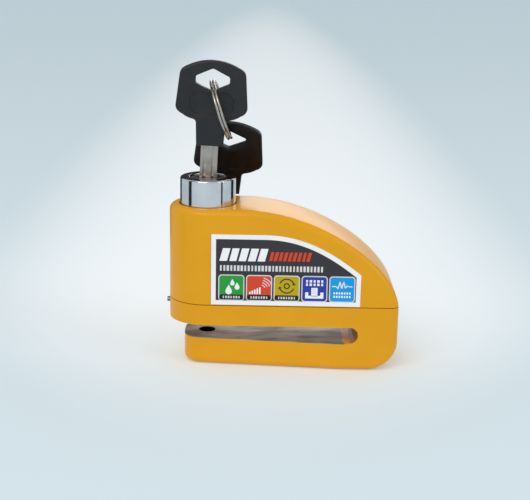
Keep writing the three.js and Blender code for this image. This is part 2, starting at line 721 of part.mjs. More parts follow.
/** Where the ring crosses the turning key's eye, just above the eye's lower corner. */
function eyeContact() {
  const height = EYE_HEIGHT - EYE_HALF_HEIGHT + 2.15;
  return new THREE.Vector3(0, 0, height)
    .applyAxisAngle(new THREE.Vector3(0, 1, 0), KEY_LEAN)
    .add(new THREE.Vector3(0, 0, BARREL_TOP));
}

/** The ring's centre: behind the key, down the slanted line that the ring hangs along. */
function ringCentre() {
  const drop = Math.sqrt(RING_RADIUS ** 2 - RING_BACK_OFFSET ** 2);
  const along = new THREE.Vector3(Math.sin(RING_SLANT), 0, -Math.cos(RING_SLANT));
  return eyeContact().addScaledVector(along, drop).setY(RING_BACK_OFFSET);
}

function splitRing() {
  const ring = part('split_ring', wire(new SplitRingCurve(), RING_WIRE / 2, 88, 8), STEEL);
  ring.position.copy(ringCentre());
  ring.rotation.set(0, Math.PI / 2 - RING_SLANT, 0);
  return ring;
}

/** Where the spare key hangs: low on the back of the ring. */
function spareHang() {
  const down = RING_RADIUS * Math.cos(SPARE_ANGLE_ON_RING);
  const back = RING_RADIUS * Math.sin(SPARE_ANGLE_ON_RING);
  return ringCentre().add(
    new THREE.Vector3(down * Math.sin(RING_SLANT), back, -down * Math.cos(RING_SLANT)),
  );
}

function turningKey() {
  const key = new THREE.Group();
  key.add(keyBlade('key_blade'), keyBow('key_bow'));
  key.position.set(0, 0, BARREL_TOP);
  key.rotation.set(0, KEY_LEAN, 0);
  return key;
}

function spareKey() {
  const key = new THREE.Group();
  const blade = keyBlade('spare_key_blade');
  const bow = keyBow('spare_key_bow');
  const hangHeight = EYE_HEIGHT + EYE_HALF_HEIGHT - 1.7;
  blade.position.set(0, 0, -hangHeight);
  bow.position.set(0, 0, -hangHeight);
  key.add(blade, bow);
  key.position.copy(spareHang());
  key.rotation.set(SPARE_TILT, SPARE_ROLL, 0);
  return key;
}

// ---- Assembly --------------------------------------------------------------------------------

const lock = new THREE.Group();
lock.name = 'disc_brake_lock';
lock.add(lowerBody(), upperCover(), seamGasket(), barrelWiper(), frontLabel(), stopPin(), seamStud());
lock.add(...SCREW_PLACES.map((place, i) => coverScrew(i + 1, place)));
lock.add(circuitBoard(), batteryCage(), ...buttonCells(), ...batteryContacts());
lock.add(...buzzer(), buzzerLead(1, 33), buzzerLead(2, 41), ...boardParts());
lock.add(returnSpring(), barrelSleeve(), barrelEndCap(), lockPin(), armingMagnet());
lock.add(lockingSlug(), keyPlug(), plugCam(), camScrew());
lock.add(...Array.from({ length: WAFER_COUNT }, (_, i) => wafer(i)));
lock.add(turningKey(), splitRing(), spareKey());

export default lock;
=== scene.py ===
"""Looks of an alarm disc brake lock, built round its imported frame.

The painted housing, the printed front plate, the chromed barrel, the keys and their ring are modelled
here in fine detail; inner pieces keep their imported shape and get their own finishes.
Outlines are drawn in millimetres and turned into metres when a mesh is made.
"""
from __future__ import annotations

import json
import logging
import math
from dataclasses import dataclass, field
from enum import Enum
from typing import Any, Iterable, Sequence

import bmesh
import bpy
from mathutils import Matrix, Vector

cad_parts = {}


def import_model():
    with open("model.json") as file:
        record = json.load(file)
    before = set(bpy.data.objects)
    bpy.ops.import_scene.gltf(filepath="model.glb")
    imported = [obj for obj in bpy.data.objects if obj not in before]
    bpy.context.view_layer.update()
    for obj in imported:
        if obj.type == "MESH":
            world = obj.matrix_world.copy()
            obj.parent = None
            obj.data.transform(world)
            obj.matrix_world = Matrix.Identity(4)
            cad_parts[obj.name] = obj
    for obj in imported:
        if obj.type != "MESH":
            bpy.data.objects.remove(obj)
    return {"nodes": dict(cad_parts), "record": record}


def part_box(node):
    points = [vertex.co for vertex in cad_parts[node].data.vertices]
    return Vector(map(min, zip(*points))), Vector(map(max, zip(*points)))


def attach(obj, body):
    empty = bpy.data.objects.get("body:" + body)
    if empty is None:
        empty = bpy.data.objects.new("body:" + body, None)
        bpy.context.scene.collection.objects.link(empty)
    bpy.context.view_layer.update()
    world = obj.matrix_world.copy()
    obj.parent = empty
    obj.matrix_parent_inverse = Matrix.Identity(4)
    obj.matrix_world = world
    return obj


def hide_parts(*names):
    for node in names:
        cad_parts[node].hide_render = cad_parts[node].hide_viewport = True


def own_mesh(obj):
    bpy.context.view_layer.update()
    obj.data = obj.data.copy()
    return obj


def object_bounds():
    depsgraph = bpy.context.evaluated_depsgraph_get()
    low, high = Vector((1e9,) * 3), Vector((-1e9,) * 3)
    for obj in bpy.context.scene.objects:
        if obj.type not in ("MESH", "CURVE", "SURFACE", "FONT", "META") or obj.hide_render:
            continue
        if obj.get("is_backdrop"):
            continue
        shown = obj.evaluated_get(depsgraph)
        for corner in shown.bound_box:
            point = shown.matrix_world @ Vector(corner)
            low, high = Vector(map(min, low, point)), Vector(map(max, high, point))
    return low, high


LOG = logging.getLogger("disc_lock")
MM = 0.001
WELD = 2e-6
COINCIDENT = 1e-7
Colour = tuple[float, float, float]
Point = tuple[float, float]


# ---- Shader writing ---------------------------------------------------------------------------


class Value:
    """A number in a shader, on which Python operators add Math nodes."""

    def __init__(self, tree: "Shader", socket: Any) -> None:
        """Wraps an output socket of the tree."""
        self.tree = tree
        self.socket = socket

    def _math(self, operation: str, first: Any, second: Any) -> "Value":
        """Returns the result of a Math node on two values or numbers."""
        node = self.tree.node("ShaderNodeMath", {"operation": operation}, {0: first, 1: second})
        return Value(self.tree, node.outputs[0])

    def __add__(self, other: Any) -> "Value":
        """Sum."""
        return self._math("ADD", self, other)

    __radd__ = __add__

    def __sub__(self, other: Any) -> "Value":
        """Difference."""
        return self._math("SUBTRACT", self, other)

    def __rsub__(self, other: Any) -> "Value":
        """Difference with the value on the right."""
        return self._math("SUBTRACT", other, self)

    def __mul__(self, other: Any) -> "Value":
        """Product."""
        return self._math("MULTIPLY", self, other)

    __rmul__ = __mul__

    def below(self, limit: Any) -> "Value":
        """1 where the value is below the limit, else 0."""
        return self._math("LESS_THAN", self, limit)

    def above(self, limit: Any) -> "Value":
        """1 where the value is above the limit, else 0."""
        return self._math("GREATER_THAN", self, limit)

    def ramp(self, low: float, high: float, to_low: float = 0.0, to_high: float = 1.0) -> "Value":
        """Maps low..high to to_low..to_high with soft ends.

        Args:
            low: Value that maps to to_low.
            high: Value that maps to to_high.
            to_low: First result.
            to_high: Last result.

        Returns:
            The mapped value.
        """
        node = self.tree.node(
            "ShaderNodeMapRange",
            {"interpolation_type": "SMOOTHSTEP"},
            {"Value": self, "From Min": low, "From Max": high, "To Min": to_low, "To Max": to_high},
        )
        return Value(self.tree, node.outputs["Result"])


class Shader:
    """A material's node tree, written from Python."""

    def __init__(self, name: str) -> None:
        """Makes an empty material with one Principled surface.

        Args:
            name: The material's name.
        """
        self.material = bpy.data.materials.new(name)
        self.material.use_nodes = True
        self.tree = self.material.node_tree
        self.surface = self.tree.nodes["Principled BSDF"]

    def node(self, kind: str, settings: dict[str, Any], inputs: dict[Any, Any]) -> Any:
        """Adds a node.

        Args:
            kind: Blender's node type.
            settings: Properties, set first.
            inputs: Values or links, by socket name or number.

        Returns:
            The node.
        """
        made = self.tree.nodes.new(kind)
        for key, value in settings.items():
            setattr(made, key, value)
        for key, value in inputs.items():
            self.feed(made.inputs[key], value)
        return made

    def feed(self, socket: Any, value: Any) -> None:
        """Links a value to a socket, or sets the socket's own value.

        Args:
            socket: The input that is fed.
            value: A value, an output socket, a colour or a number.
        """
        if isinstance(value, Value):
            self.tree.links.new(value.socket, socket)
        elif isinstance(value, bpy.types.NodeSocket):
            self.tree.links.new(value, socket)
        elif isinstance(value, tuple) and len(value) == 3 and socket.type == "RGBA":
            socket.default_value = (*value, 1.0)
        else:
            socket.default_value = value

    def place(self, scale: Sequence[float] = (1.0, 1.0, 1.0)) -> Any:
        """Places a texture by the object's own coordinates.

        Args:
            scale: Stretch along each axis.

        Returns:
            The vector's socket.
        """
        coordinates = self.node("ShaderNodeTexCoord", {}, {})
        mapping = self.node("ShaderNodeMapping", {}, {"Vector": coordinates.outputs["Object"]})
        mapping.inputs["Scale"].default_value = scale
        return mapping.outputs["Vector"]

    def axes(self) -> tuple[Value, Value, Value]:
        """Returns the object's X, Y and Z in millimetres."""
        split = self.node("ShaderNodeSeparateXYZ", {}, {0: self.place((1 / MM,) * 3)})
        return tuple(Value(self, split.outputs[i]) for i in range(3))

    def noise(self, scale: float, detail: float = 3.0, stretch: Sequence[float] = (1, 1, 1)) -> Value:
        """Adds smooth noise.

        Args:
            scale: Cells per metre.
            detail: Octaves of finer noise.
            stretch: Stretch of the coordinates along each axis.

        Returns:
            The noise, from 0 to 1.
        """
        made = self.node(
            "ShaderNodeTexNoise", {}, {"Vector": self.place(stretch), "Scale": scale, "Detail": detail}
        )
        return Value(self, made.outputs[0])

    def mix(self, factor: Any, first: Any, second: Any) -> Any:
        """Mixes two colours.

        Args:
            factor: Share of the second colour.
            first: Colour where the factor is 0.
            second: Colour where the factor is 1.

        Returns:
            The colour's socket.
        """
        made = self.node("ShaderNodeMix", {"data_type": "RGBA"}, {"Factor": factor})
        self.feed(made.inputs[6], first)
        self.feed(made.inputs[7], second)
        return made.outputs[2]

    def bump(self, height: Value, strength: float, distance: float) -> None:
        """Roughens the surface's normal by a height.

        Args:
            height: The relief, from 0 to 1.
            strength: Share of the relief that is used.
            distance: Depth of the relief in millimetres.
        """
        made = self.node(
            "ShaderNodeBump", {}, {"Height": height, "Strength": strength, "Distance": distance * MM}
        )
        self.tree.links.new(made.outputs["Normal"], self.surface.inputs["Normal"])

    def set(self, **inputs: Any) -> None:
        """Feeds sockets of the surface.

        Args:
            inputs: Values by socket name, with underscores for spaces.
        """
        for key, value in inputs.items():
            self.feed(self.surface.inputs[key.replace("_", " ")], value)


# ---- Finishes ---------------------------------------------------------------------------------


class Texture(Enum):
    """How a finish breaks up light."""

    PEEL = "fine orange peel of sprayed paint"
    DRAWN = "lines along the height of a drawn or milled bar"
    SPUN = "rings round a turned piece"
    SPARK = "fine even grain of a spark-eroded mould"
    FILM = "smooth printed film"
    CAST = "uneven skin of bare casting"


# For each texture: cells per metre, stretch of the cells, and depth of the relief in millimetres.
GRAIN: dict[Texture, tuple[float, tuple[float, float, float], float]] = {
    Texture.PEEL: (900, (1, 1, 1), 0.012),
    Texture.DRAWN: (1400, (1, 1, 0.06), 0.02),
    Texture.SPUN: (2600, (0.03, 0.03, 1), 0.008),
    Texture.SPARK: (4200, (1, 1, 1), 0.03),
    Texture.FILM: (600, (1, 1, 1), 0.004),
    Texture.CAST: (1500, (1, 1, 1), 0.05),
}


@dataclass(frozen=True)
class Finish:
    """A surface of one substance: its colour, its gloss and its grain."""

    name: str
    colour: Colour
    roughness: float
    texture: Texture
    metallic: float = 0.0
    coat: float = 0.0
    coat_roughness: float = 0.2
    shade: float = 0.12
    blotch: float = 220
    specular: float = 0.5

    def shader(self) -> Shader:
        """Writes the finish, with uneven colour, uneven gloss and a grain.

        Returns:
            The shader, to which more can be added.
        """
        shader = Shader(self.name)
        scale, stretch, depth = GRAIN[self.texture]
        grain = shader.noise(scale, 4, stretch)
        cloud = shader.noise(self.blotch, 4)
        dark = tuple(c * (1 - self.shade) for c in self.colour)
        light = tuple(min(1.0, c * (1 + self.shade * 0.6)) for c in self.colour)
        shader.set(
            Base_Color=shader.mix(cloud.ramp(0.3, 0.7), dark, light),
            Roughness=cloud.ramp(0.2, 0.8, self.roughness * 0.85, self.roughness * 1.18),
            Metallic=self.metallic,
        )
        shader.surface.inputs["Coat Weight"].default_value = self.coat
        shader.surface.inputs["Coat Roughness"].default_value = self.coat_roughness
        shader.surface.inputs["Specular IOR Level"].default_value = self.specular
        shader.bump(grain, 0.6, depth)
        return shader

    def material(self) -> bpy.types.Material:
        """Returns the finish as a material."""
        return self.shader().material


@dataclass(frozen=True)
class PaintedCasting(Finish):
    """Paint over a zinc casting, rubbed bare where the brake disc slides, with painted shade in the slot
    and the pin hole.
    """

    bare_colour: Colour = (0.33, 0.31, 0.28)
    bare_roughness: float = 0.42
    bare_metal: float = 0.6
    # Painted shade: bare metal inside the pin hole is coloured near black.
    hole_shade_colour: Colour = (0.02, 0.016, 0.012)
    # Painted shade: the paint inside the slot is a darker brown copy of the yellow.
    slot_shade_colour: Colour = (0.40, 0.17, 0.008)
    floor: float = 11.0
    bare_end: float = 53.0
    hole_radius: float = 3.5
    ceiling: float = 17.45
    slot_end: float = 59.6
    inside: float = 14.5

    def material(self) -> bpy.types.Material:
        """Writes the paint with its bare strip on the slot's floor, and painted shade in the slot and the
        pin hole.

        Returns:
            The finished material.
        """
        shader = self.shader()
        x, y, z = shader.axes()
        stain = shader.noise(90, 6, (0.6, 1.8, 1))
        fleck = shader.noise(1300, 5, (1, 3, 1))
        at_floor = z.above(self.floor - 0.35) * z.below(self.floor + 0.05)
        ragged_end = (x + stain * 5.0).ramp(self.bare_end + 3.6, self.bare_end + 2.6)
        in_hole = (x * x + y * y).below(self.hole_radius**2) * z.below(self.floor - 0.2)
        bare = at_floor * ragged_end * fleck.ramp(0.24, 0.3)
        bare = bare + in_hole - bare * in_hole
        dark_bare = tuple(c * 0.5 for c in self.bare_colour)
        light_bare = tuple(min(1.0, c * 1.3) for c in self.bare_colour)
        metal = shader.mix(stain.ramp(0.38, 0.6), dark_bare, light_bare)
        # Painted shade: the bare metal inside the pin hole takes the near-black colour.
        metal = shader.mix(in_hole, metal, self.hole_shade_colour)
        # Painted shade: inside the slot the paint turns dark brown and loses its coat.
        in_slot = z.above(self.floor + 0.05) * z.below(self.ceiling) * (y * y).below(self.inside**2)
        paint = shader.surface.inputs["Base Color"].links[0].from_socket
        paint = shader.mix(in_slot * x.below(self.slot_end), paint, self.slot_shade_colour)
        gloss = Value(shader, shader.surface.inputs["Roughness"].links[0].from_socket)
        shader.set(
            Base_Color=shader.mix(bare, paint, metal),
            Roughness=gloss + bare * (self.bare_roughness - self.roughness),
            Metallic=bare * self.bare_metal,
            Coat_Weight=(1 - bare) * (1 - in_slot) * self.coat,
        )
        return shader.material


class Finishes:
    """Every finish of the lock, made once."""

    PAINT = PaintedCasting("yellow_paint", (0.80, 0.36, 0.004), 0.33, Texture.PEEL, coat=0.18, shade=0.03,
                           blotch=60, specular=0.16)
    CHROME = Finish("satin_chrome", (0.66, 0.65, 0.67), 0.10, Texture.SPUN, metallic=1.0, shade=0.06)
    PLUG = Finish("plug_face", (0.42, 0.40, 0.38), 0.32, Texture.SPUN, metallic=1.0)
    BLADE = Finish("nickel_silver", (0.42, 0.37, 0.34), 0.30, Texture.DRAWN, metallic=1.0, shade=0.2)
    # Painted shade: the spare key's blade is the same nickel silver, coloured near black as if in shade.
    SPARE_BLADE_IN_SHADE = Finish("shaded_blade", (0.10, 0.09, 0.085), 0.42, Texture.DRAWN, metallic=1.0, shade=0.2)
    RING = Finish("ring_wire", (0.46, 0.42, 0.38), 0.22, Texture.DRAWN, metallic=1.0)
    GRIP = Finish("key_grip", (0.012, 0.012, 0.014), 0.42, Texture.SPARK, shade=0.25, specular=0.4)
    # Painted shade: the spare key's grip is a darker copy of the grip plastic above.
    SPARE_GRIP_IN_SHADE = Finish("spare_key_grip_painted_shade", (0.006, 0.005, 0.005), 0.40, Texture.SPARK, shade=0.25,
                        specular=0.22)
    RUBBER = Finish("seal_rubber", (0.018, 0.017, 0.016), 0.75, Texture.SPARK)
    ZINC = Finish("zinc_plate", (0.50, 0.50, 0.52), 0.33, Texture.SPUN, metallic=1.0)
    SPRING = Finish("spring_wire", (0.42, 0.42, 0.41), 0.28, Texture.DRAWN, metallic=1.0)
    CELL = Finish("cell_can", (0.62, 0.62, 0.62), 0.24, Texture.SPUN, metallic=1.0)
    BRASS = Finish("brass_sheet", (0.72, 0.50, 0.20), 0.28, Texture.DRAWN, metallic=1.0)
    PLUG_BODY = Finish("plug_brass", (0.60, 0.47, 0.26), 0.33, Texture.SPUN, metallic=1.0)
    BOARD = Finish("solder_mask", (0.015, 0.12, 0.04), 0.38, Texture.FILM)
    CAGE = Finish("cage_plastic", (0.25, 0.26, 0.27), 0.55, Texture.SPARK)
    BLACK = Finish("black_moulding", (0.025, 0.025, 0.027), 0.48, Texture.SPARK)
    LEAD = Finish("red_insulation", (0.42, 0.02, 0.015), 0.4, Texture.FILM)
    REED = Finish("reed_glass", (0.35, 0.42, 0.38), 0.08, Texture.FILM)
    MAGNET = Finish("magnet_plate", (0.22, 0.22, 0.23), 0.25, Texture.CAST, metallic=1.0)


@dataclass(frozen=True)
class Ink:
    """One colour of the printed front plate."""

    name: str
    colour: Colour

    def material(self) -> bpy.types.Material:
        """Returns the ink as smooth printed film."""
        film = Finish(f"ink_{self.name}", self.colour, 0.32, Texture.FILM, shade=0.03, specular=0.2)
        return film.material()


# ---- Mesh writing -----------------------------------------------------------------------------


def arc(centre: Point, radius: float, start: float, end: float, steps: int) -> list[Point]:
    """Points on an arc.

    Args:
        centre: Centre of the arc.
        radius: Its radius.
        start: First angle in degrees.
        end: Last angle in degrees.
        steps: Number of chords.

    Returns:
        The points, both ends included.
    """
    angles = [math.radians(start + (end - start) * i / steps) for i in range(steps + 1)]
    return [(centre[0] + radius * math.cos(a), centre[1] + radius * math.sin(a)) for a in angles]


def bezier(points: Sequence[Point], steps: int) -> list[Point]:
    """Points on a Bezier curve of any degree.

    Args:
        points: Its control points.
        steps: Number of chords.

    Returns:
        The points, both ends included.
    """
    result = []
    for i in range(steps + 1):
        t = i / steps
        level = [Vector(p) for p in points]
        while len(level) > 1:
            level = [a.lerp(b, t) for a, b in zip(level, level[1:])]
        result.append(tuple(level[0]))
    return result


def tidy_outline(outline: Iterable[Point], least: float = 0.02) -> list[Point]:
    """Drops points that repeat their neighbour.

    Args:
        outline: The closed outline.
        least: Smallest gap that is kept, in millimetres.

    Returns:
        The outline without repeats.
    """
    kept: list[Point] = []
    for point in outline:
        if not kept or math.dist(point, kept[-1]) > least:
            kept.append(point)
    if math.dist(kept[0], kept[-1]) <= least:
        kept.pop()
    return kept


def inset(outline: Sequence[Point], amount: float) -> list[Point]:
    """Moves an outline inwards, corner by corner.

    Args:
        outline: Anticlockwise points.
        amount: Distance to move each edge.

    Returns:
        The smaller outline, with as many points.
    """
    moved = []
    count = len(outline)
    for i in range(count):
        before, here, after = (Vector(outline[j % count]) for j in (i - 1, i, i + 1))
        first, second = (here - before).normalized(), (after - here).normalized()
        normal = Vector((-first.y - second.y, first.x + second.x)).normalized()
        lean = max(0.35, normal.dot(Vector((-first.y, first.x))))
        moved.append(tuple(here + normal * (amount / lean)))
    return moved


class Plane(Enum):
    """How an outline's two axes and its depth become X, Y and Z."""

    FLOOR = "outline in XY, depth up Z"
    FRONT = "outline in XZ, depth back along Y"


def place_point(plane: Plane, point: Point, depth: float) -> Vector:
    """Places a point of an outline.

    Args:
        plane: Where the outline lies.
        point: The point in millimetres.
        depth: Its depth in millimetres.

    Returns:
        The point in metres.
    """
    if plane is Plane.FLOOR:
        return Vector((point[0], point[1], depth)) * MM
    return Vector((point[0], depth, point[1])) * MM


def prism(
    outline: Sequence[Point],
    span: tuple[float, float],
    plane: Plane,
    fillet: float = 0.0,
    steps: int = 6,
) -> bmesh.types.BMesh:
    """A closed block of one outline, with both rims rounded.

    Args:
        outline: Anticlockwise points in millimetres.
        span: First and last depth.
        plane: Where the outline lies.
        fillet: Radius of the rims.
        steps: Chords in a rim's quarter circle.

    Returns:
        The block.
    """
    mesh = bmesh.new()
    turns = [math.pi / 2 * i / steps for i in range(steps + 1)] if fillet else [math.pi / 2]
    low = [(fillet * (1 - math.sin(a)), span[0] + fillet * (1 - math.cos(a))) for a in turns]
    high = [(amount, span[0] + span[1] - depth) for amount, depth in reversed(low)]
    rings = []
    for amount, depth in low + high:
        shape = inset(outline, amount) if amount > 1e-6 else outline
        rings.append([mesh.verts.new(place_point(plane, p, depth)) for p in shape])
    for lower, upper in zip(rings, rings[1:]):
        for i in range(len(outline)):
            j = (i + 1) % len(outline)
            mesh.faces.new((lower[i], lower[j], upper[j], upper[i]))
    mesh.faces.new(rings[0][::-1])
    mesh.faces.new(rings[-1])
    bmesh.ops.recalc_face_normals(mesh, faces=mesh.faces)
    return mesh


def turned(outline: Sequence[Point], segments: int = 128, closed: bool = False) -> bmesh.types.BMesh:
    """A piece turned about Z from [radius, height] points.

    Args:
        outline: Points from bottom to top on the outside; the ends lie on the axis unless closed.
        segments: Facets round the axis.
        closed: Whether the outline joins its own start, as a ring's does.

    Returns:
        The closed piece.
    """
    mesh = bmesh.new()
    columns = []
    for k in range(segments):
        angle = 2 * math.pi * k / segments
        spin = Vector((math.cos(angle), math.sin(angle), 0))
        columns.append([mesh.verts.new((spin * r + Vector((0, 0, z))) * MM) for r, z in outline])
    pairs = list(zip(range(len(outline)), range(1, len(outline))))
    if closed:
        pairs.append((len(outline) - 1, 0))
    for k in range(segments):
        here, there = columns[k], columns[(k + 1) % segments]
        for low, high in pairs:
            mesh.faces.new((here[low], there[low], there[high], here[high]))
    bmesh.ops.remove_doubles(mesh, verts=mesh.verts, dist=COINCIDENT)
    bmesh.ops.recalc_face_normals(mesh, faces=mesh.faces)
    return mesh


def rod(radius: float, span: tuple[float, float], centre: Point = (0, 0), plane: Plane = Plane.FLOOR,
        steps: int = 48, fillet: float = 0.0) -> bmesh.types.BMesh:
    """A round bar through a plane.

    Args:
        radius: Its radius.
        span: First and last depth.
        centre: Its middle in the plane.
        plane: The plane that it crosses.
        steps: Facets round it.
        fillet: Radius of its rims.

    Returns:
        The bar.
    """
    return prism(arc(centre, radius, 0, 360, steps)[:-1], span, plane, fillet, 3)


def block(x: Point, y: Point, z: Point) -> bmesh.types.BMesh:
    """A square-edged cutter between limits in millimetres."""
    return prism([(x[0], y[0]), (x[1], y[0]), (x[1], y[1]), (x[0], y[1])], z, Plane.FLOOR)


def as_object(name: str, mesh: bmesh.types.BMesh) -> bpy.types.Object:
    """Links a mesh to the scene as an object.

    Args:
        name: The object's name.
        mesh: The mesh, which is freed.

    Returns:
        The object.
    """
    data = bpy.data.meshes.new(name)
    mesh.to_mesh(data)
    mesh.free()
    made = bpy.data.objects.new(name, data)
    bpy.context.scene.collection.objects.link(made)
    return made


def bake(made: bpy.types.Object) -> None:
    """Turns an object's modifiers into its mesh.

    Args:
        made: The object.
    """
    graph = bpy.context.evaluated_depsgraph_get()
    data = bpy.data.meshes.new_from_object(made.evaluated_get(graph))
    made.modifiers.clear()
    made.data = data


def combine(base: bpy.types.Object, mesh: bmesh.types.BMesh, operation: str = "DIFFERENCE") -> None:
    """Joins, cuts or intersects an object with a mesh.

    Args:
        base: The object that changes.
        mesh: The other solid.
        operation: UNION, DIFFERENCE or INTERSECT.
    """
    other = as_object("tool", mesh)
    step = base.modifiers.new("step", "BOOLEAN")
    step.operation = operation
    step.solver = "EXACT"
    step.object = other
    bake(base)
    bpy.data.objects.remove(other)


def smooth(made: bpy.types.Object, angle: float = 32.0) -> None:
    """Shades a mesh smooth, apart from its sharp edges.

    Args:
        made: The object.
        angle: Least angle of a sharp edge, in degrees.
    """
    mesh = bmesh.new()
    mesh.from_mesh(made.data)
    bmesh.ops.remove_doubles(mesh, verts=mesh.verts, dist=WELD)
    bmesh.ops.dissolve_degenerate(mesh, edges=mesh.edges, dist=1e-6)
    mesh.to_mesh(made.data)
    mesh.free()
    made.data.polygons.foreach_set("use_smooth", [True] * len(made.data.polygons))
    made.data.set_sharp_from_angle(angle=math.radians(angle))


def dress(made: bpy.types.Object, *materials: bpy.types.Material) -> None:
    """Gives an object its materials.

    Args:
        made: The object.
        materials: One material for each index that its faces use.
    """
    for index, material in enumerate(materials):
        if index < len(made.data.materials):
            made.data.materials[index] = material
        else:
            made.data.materials.append(material)


def stand_for(made: bpy.types.Object, body: str, nodes: Sequence[str]) -> None:
    """Rides a finished piece on its body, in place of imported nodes.

    Args:
        made: The piece.
        body: The body it moves with.
        nodes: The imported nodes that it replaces.
    """
    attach(made, body)
    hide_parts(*nodes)
    LOG.info("%s rides on %s for %s", made.name, body, ", ".join(nodes))


# ---- Repeats by Geometry Nodes ----------------------------------------------------------------


class GeometryTree:
    """A Geometry Nodes tree with named inputs, ending in Realize Instances and Set Material."""

    def __init__(self, name: str, inputs: dict[str, float]) -> None:
        """Makes the tree's interface.

        Args:
            name: The tree's name.
            inputs: Its named inputs and their numbers.
        """
        self.tree = bpy.data.node_groups.new(name, "GeometryNodeTree")
        self.tree.interface.new_socket("Geometry", in_out="OUTPUT", socket_type="NodeSocketGeometry")
        self.values = inputs
        self.names = {}
        for key in inputs:
            made = self.tree.interface.new_socket(key, in_out="INPUT", socket_type="NodeSocketFloat")
            self.names[key] = made.identifier
        self.start = self.tree.nodes.new("NodeGroupInput")
        self.end = self.tree.nodes.new("NodeGroupOutput")

    def node(self, kind: str, settings: dict[str, Any], inputs: dict[Any, Any]) -> Any:
        """Adds a node.

        Args:
            kind: Blender's node type.
            settings: Properties, set first.
            inputs: Values or links by socket; a string names one of the tree's inputs.

        Returns:
            The node.
        """
        made = self.tree.nodes.new(kind)
        for key, value in settings.items():
            setattr(made, key, value)
        for key, value in inputs.items():
            if isinstance(value, str):
                value = self.start.outputs[value]
            if isinstance(value, bpy.types.NodeSocket):
                self.tree.links.new(value, made.inputs[key])
            else:
                made.inputs[key].default_value = value
        return made

    def build(self, name: str, result: Any, material: bpy.types.Material) -> bpy.types.Object:
        """Closes the tree and turns it into a plain mesh object.

        Args:
            name: The object's name.
            result: The socket that holds the geometry.
            material: The finish of every face.

        Returns:
            The object.
        """
        real = self.node("GeometryNodeRealizeInstances", {}, {0: result})
        dressed = self.node(
            "GeometryNodeSetMaterial", {}, {"Geometry": real.outputs[0], "Material": material}
        )
        self.tree.links.new(dressed.outputs[0], self.end.inputs[0])
        made = as_object(name, bmesh.new())
        step = made.modifiers.new("grow", "NODES")
        step.node_group = self.tree
        for key, value in self.values.items():
            step[self.names[key]] = value
        bake(made)
        return made


def coil(name: str, material: bpy.types.Material, inputs: dict[str, float],
         doubled: bool) -> bpy.types.Object:
    """Grows a wire coil.

    Args:
        name: The object's name.
        material: The wire's finish.
        inputs: Radius, Height, Turns, Wire and Steps; Height is the step between coils when doubled.
        doubled: Whether two flat coils are joined by one short step, as in a split ring.

    Returns:
        The coil about Z, from height 0.
    """
    tree = GeometryTree(name, inputs)
    height: Any = 0.0 if doubled else "Height"
    spiral = tree.node(
        "GeometryNodeCurveSpiral",
        {},
        {"Resolution": int(inputs["Steps"]), "Rotations": "Turns", "Start Radius": "Radius",
         "End Radius": "Radius", "Height": height},
    )
    path = spiral.outputs[0]
    if doubled:
        along = tree.node("GeometryNodeSplineParameter", {}, {})
        step = tree.node(
            "ShaderNodeMapRange",
            {"interpolation_type": "SMOOTHSTEP"},
            {"Value": along.outputs["Factor"], "From Min": 0.455, "From Max": 0.545,
             "To Min": -inputs["Height"] / 2, "To Max": inputs["Height"] / 2},
        )
        offset = tree.node("ShaderNodeCombineXYZ", {}, {"Z": step.outputs["Result"]})
        moved = tree.node("GeometryNodeSetPosition", {}, {"Geometry": path, "Offset": offset.outputs[0]})
        path = moved.outputs[0]
    section = tree.node("GeometryNodeCurvePrimitiveCircle", {}, {"Resolution": 20, "Radius": "Wire"})
    sweep = tree.node(
        "GeometryNodeCurveToMesh", {},
        {"Curve": path, "Profile Curve": section.outputs[0], "Fill Caps": True},
    )
    made = tree.build(name, sweep.outputs[0], material)
    smooth(made, 50)
    return made


def print_row(name: str, ink: bpy.types.Material, inputs: dict[str, float]) -> bpy.types.Object:
    """Grows a row of slanted printed bars on the front plate.

    Args:
        name: The object's name.
        ink: The bars' ink.
        inputs: Count, Pitch, Width, Tall, Thick and Slant in metres and radians.

    Returns:
        The row from the origin along X, facing -Y.
    """
    tree = GeometryTree(name, inputs)
    size = tree.node("ShaderNodeCombineXYZ", {}, {"X": "Width", "Y": "Thick", "Z": "Tall"})
    bar = tree.node("GeometryNodeMeshCube", {}, {"Size": size.outputs[0]})
    place = tree.node("GeometryNodeInputPosition", {}, {})
    split = tree.node("ShaderNodeSeparateXYZ", {}, {0: place.outputs[0]})
    shear = tree.node("ShaderNodeMath", {"operation": "MULTIPLY"}, {0: split.outputs["Z"], 1: "Slant"})
    offset = tree.node("ShaderNodeCombineXYZ", {}, {"X": shear.outputs[0]})
    slanted = tree.node(
        "GeometryNodeSetPosition", {}, {"Geometry": bar.outputs[0], "Offset": offset.outputs[0]}
    )
    stride = tree.node("ShaderNodeCombineXYZ", {}, {"X": "Pitch"})
    line = tree.node(
        "GeometryNodeMeshLine", {}, {"Count": int(inputs["Count"]), "Offset": stride.outputs[0]}
    )
    stretch = tree.node(
        "FunctionNodeRandomValue", {"data_type": "FLOAT"}, {2: 0.62, 3: 1.0, "Seed": int(inputs["Seed"])}
    )
    widths = tree.node("ShaderNodeCombineXYZ", {}, {"X": stretch.outputs[1], "Y": 1.0, "Z": 1.0})
    row = tree.node(
        "GeometryNodeInstanceOnPoints", {},
        {"Points": line.outputs[0], "Instance": slanted.outputs[0], "Scale": widths.outputs[0]},
    )
    return tree.build(name, row.outputs[0], ink)


# ---- Housing ----------------------------------------------------------------------------------


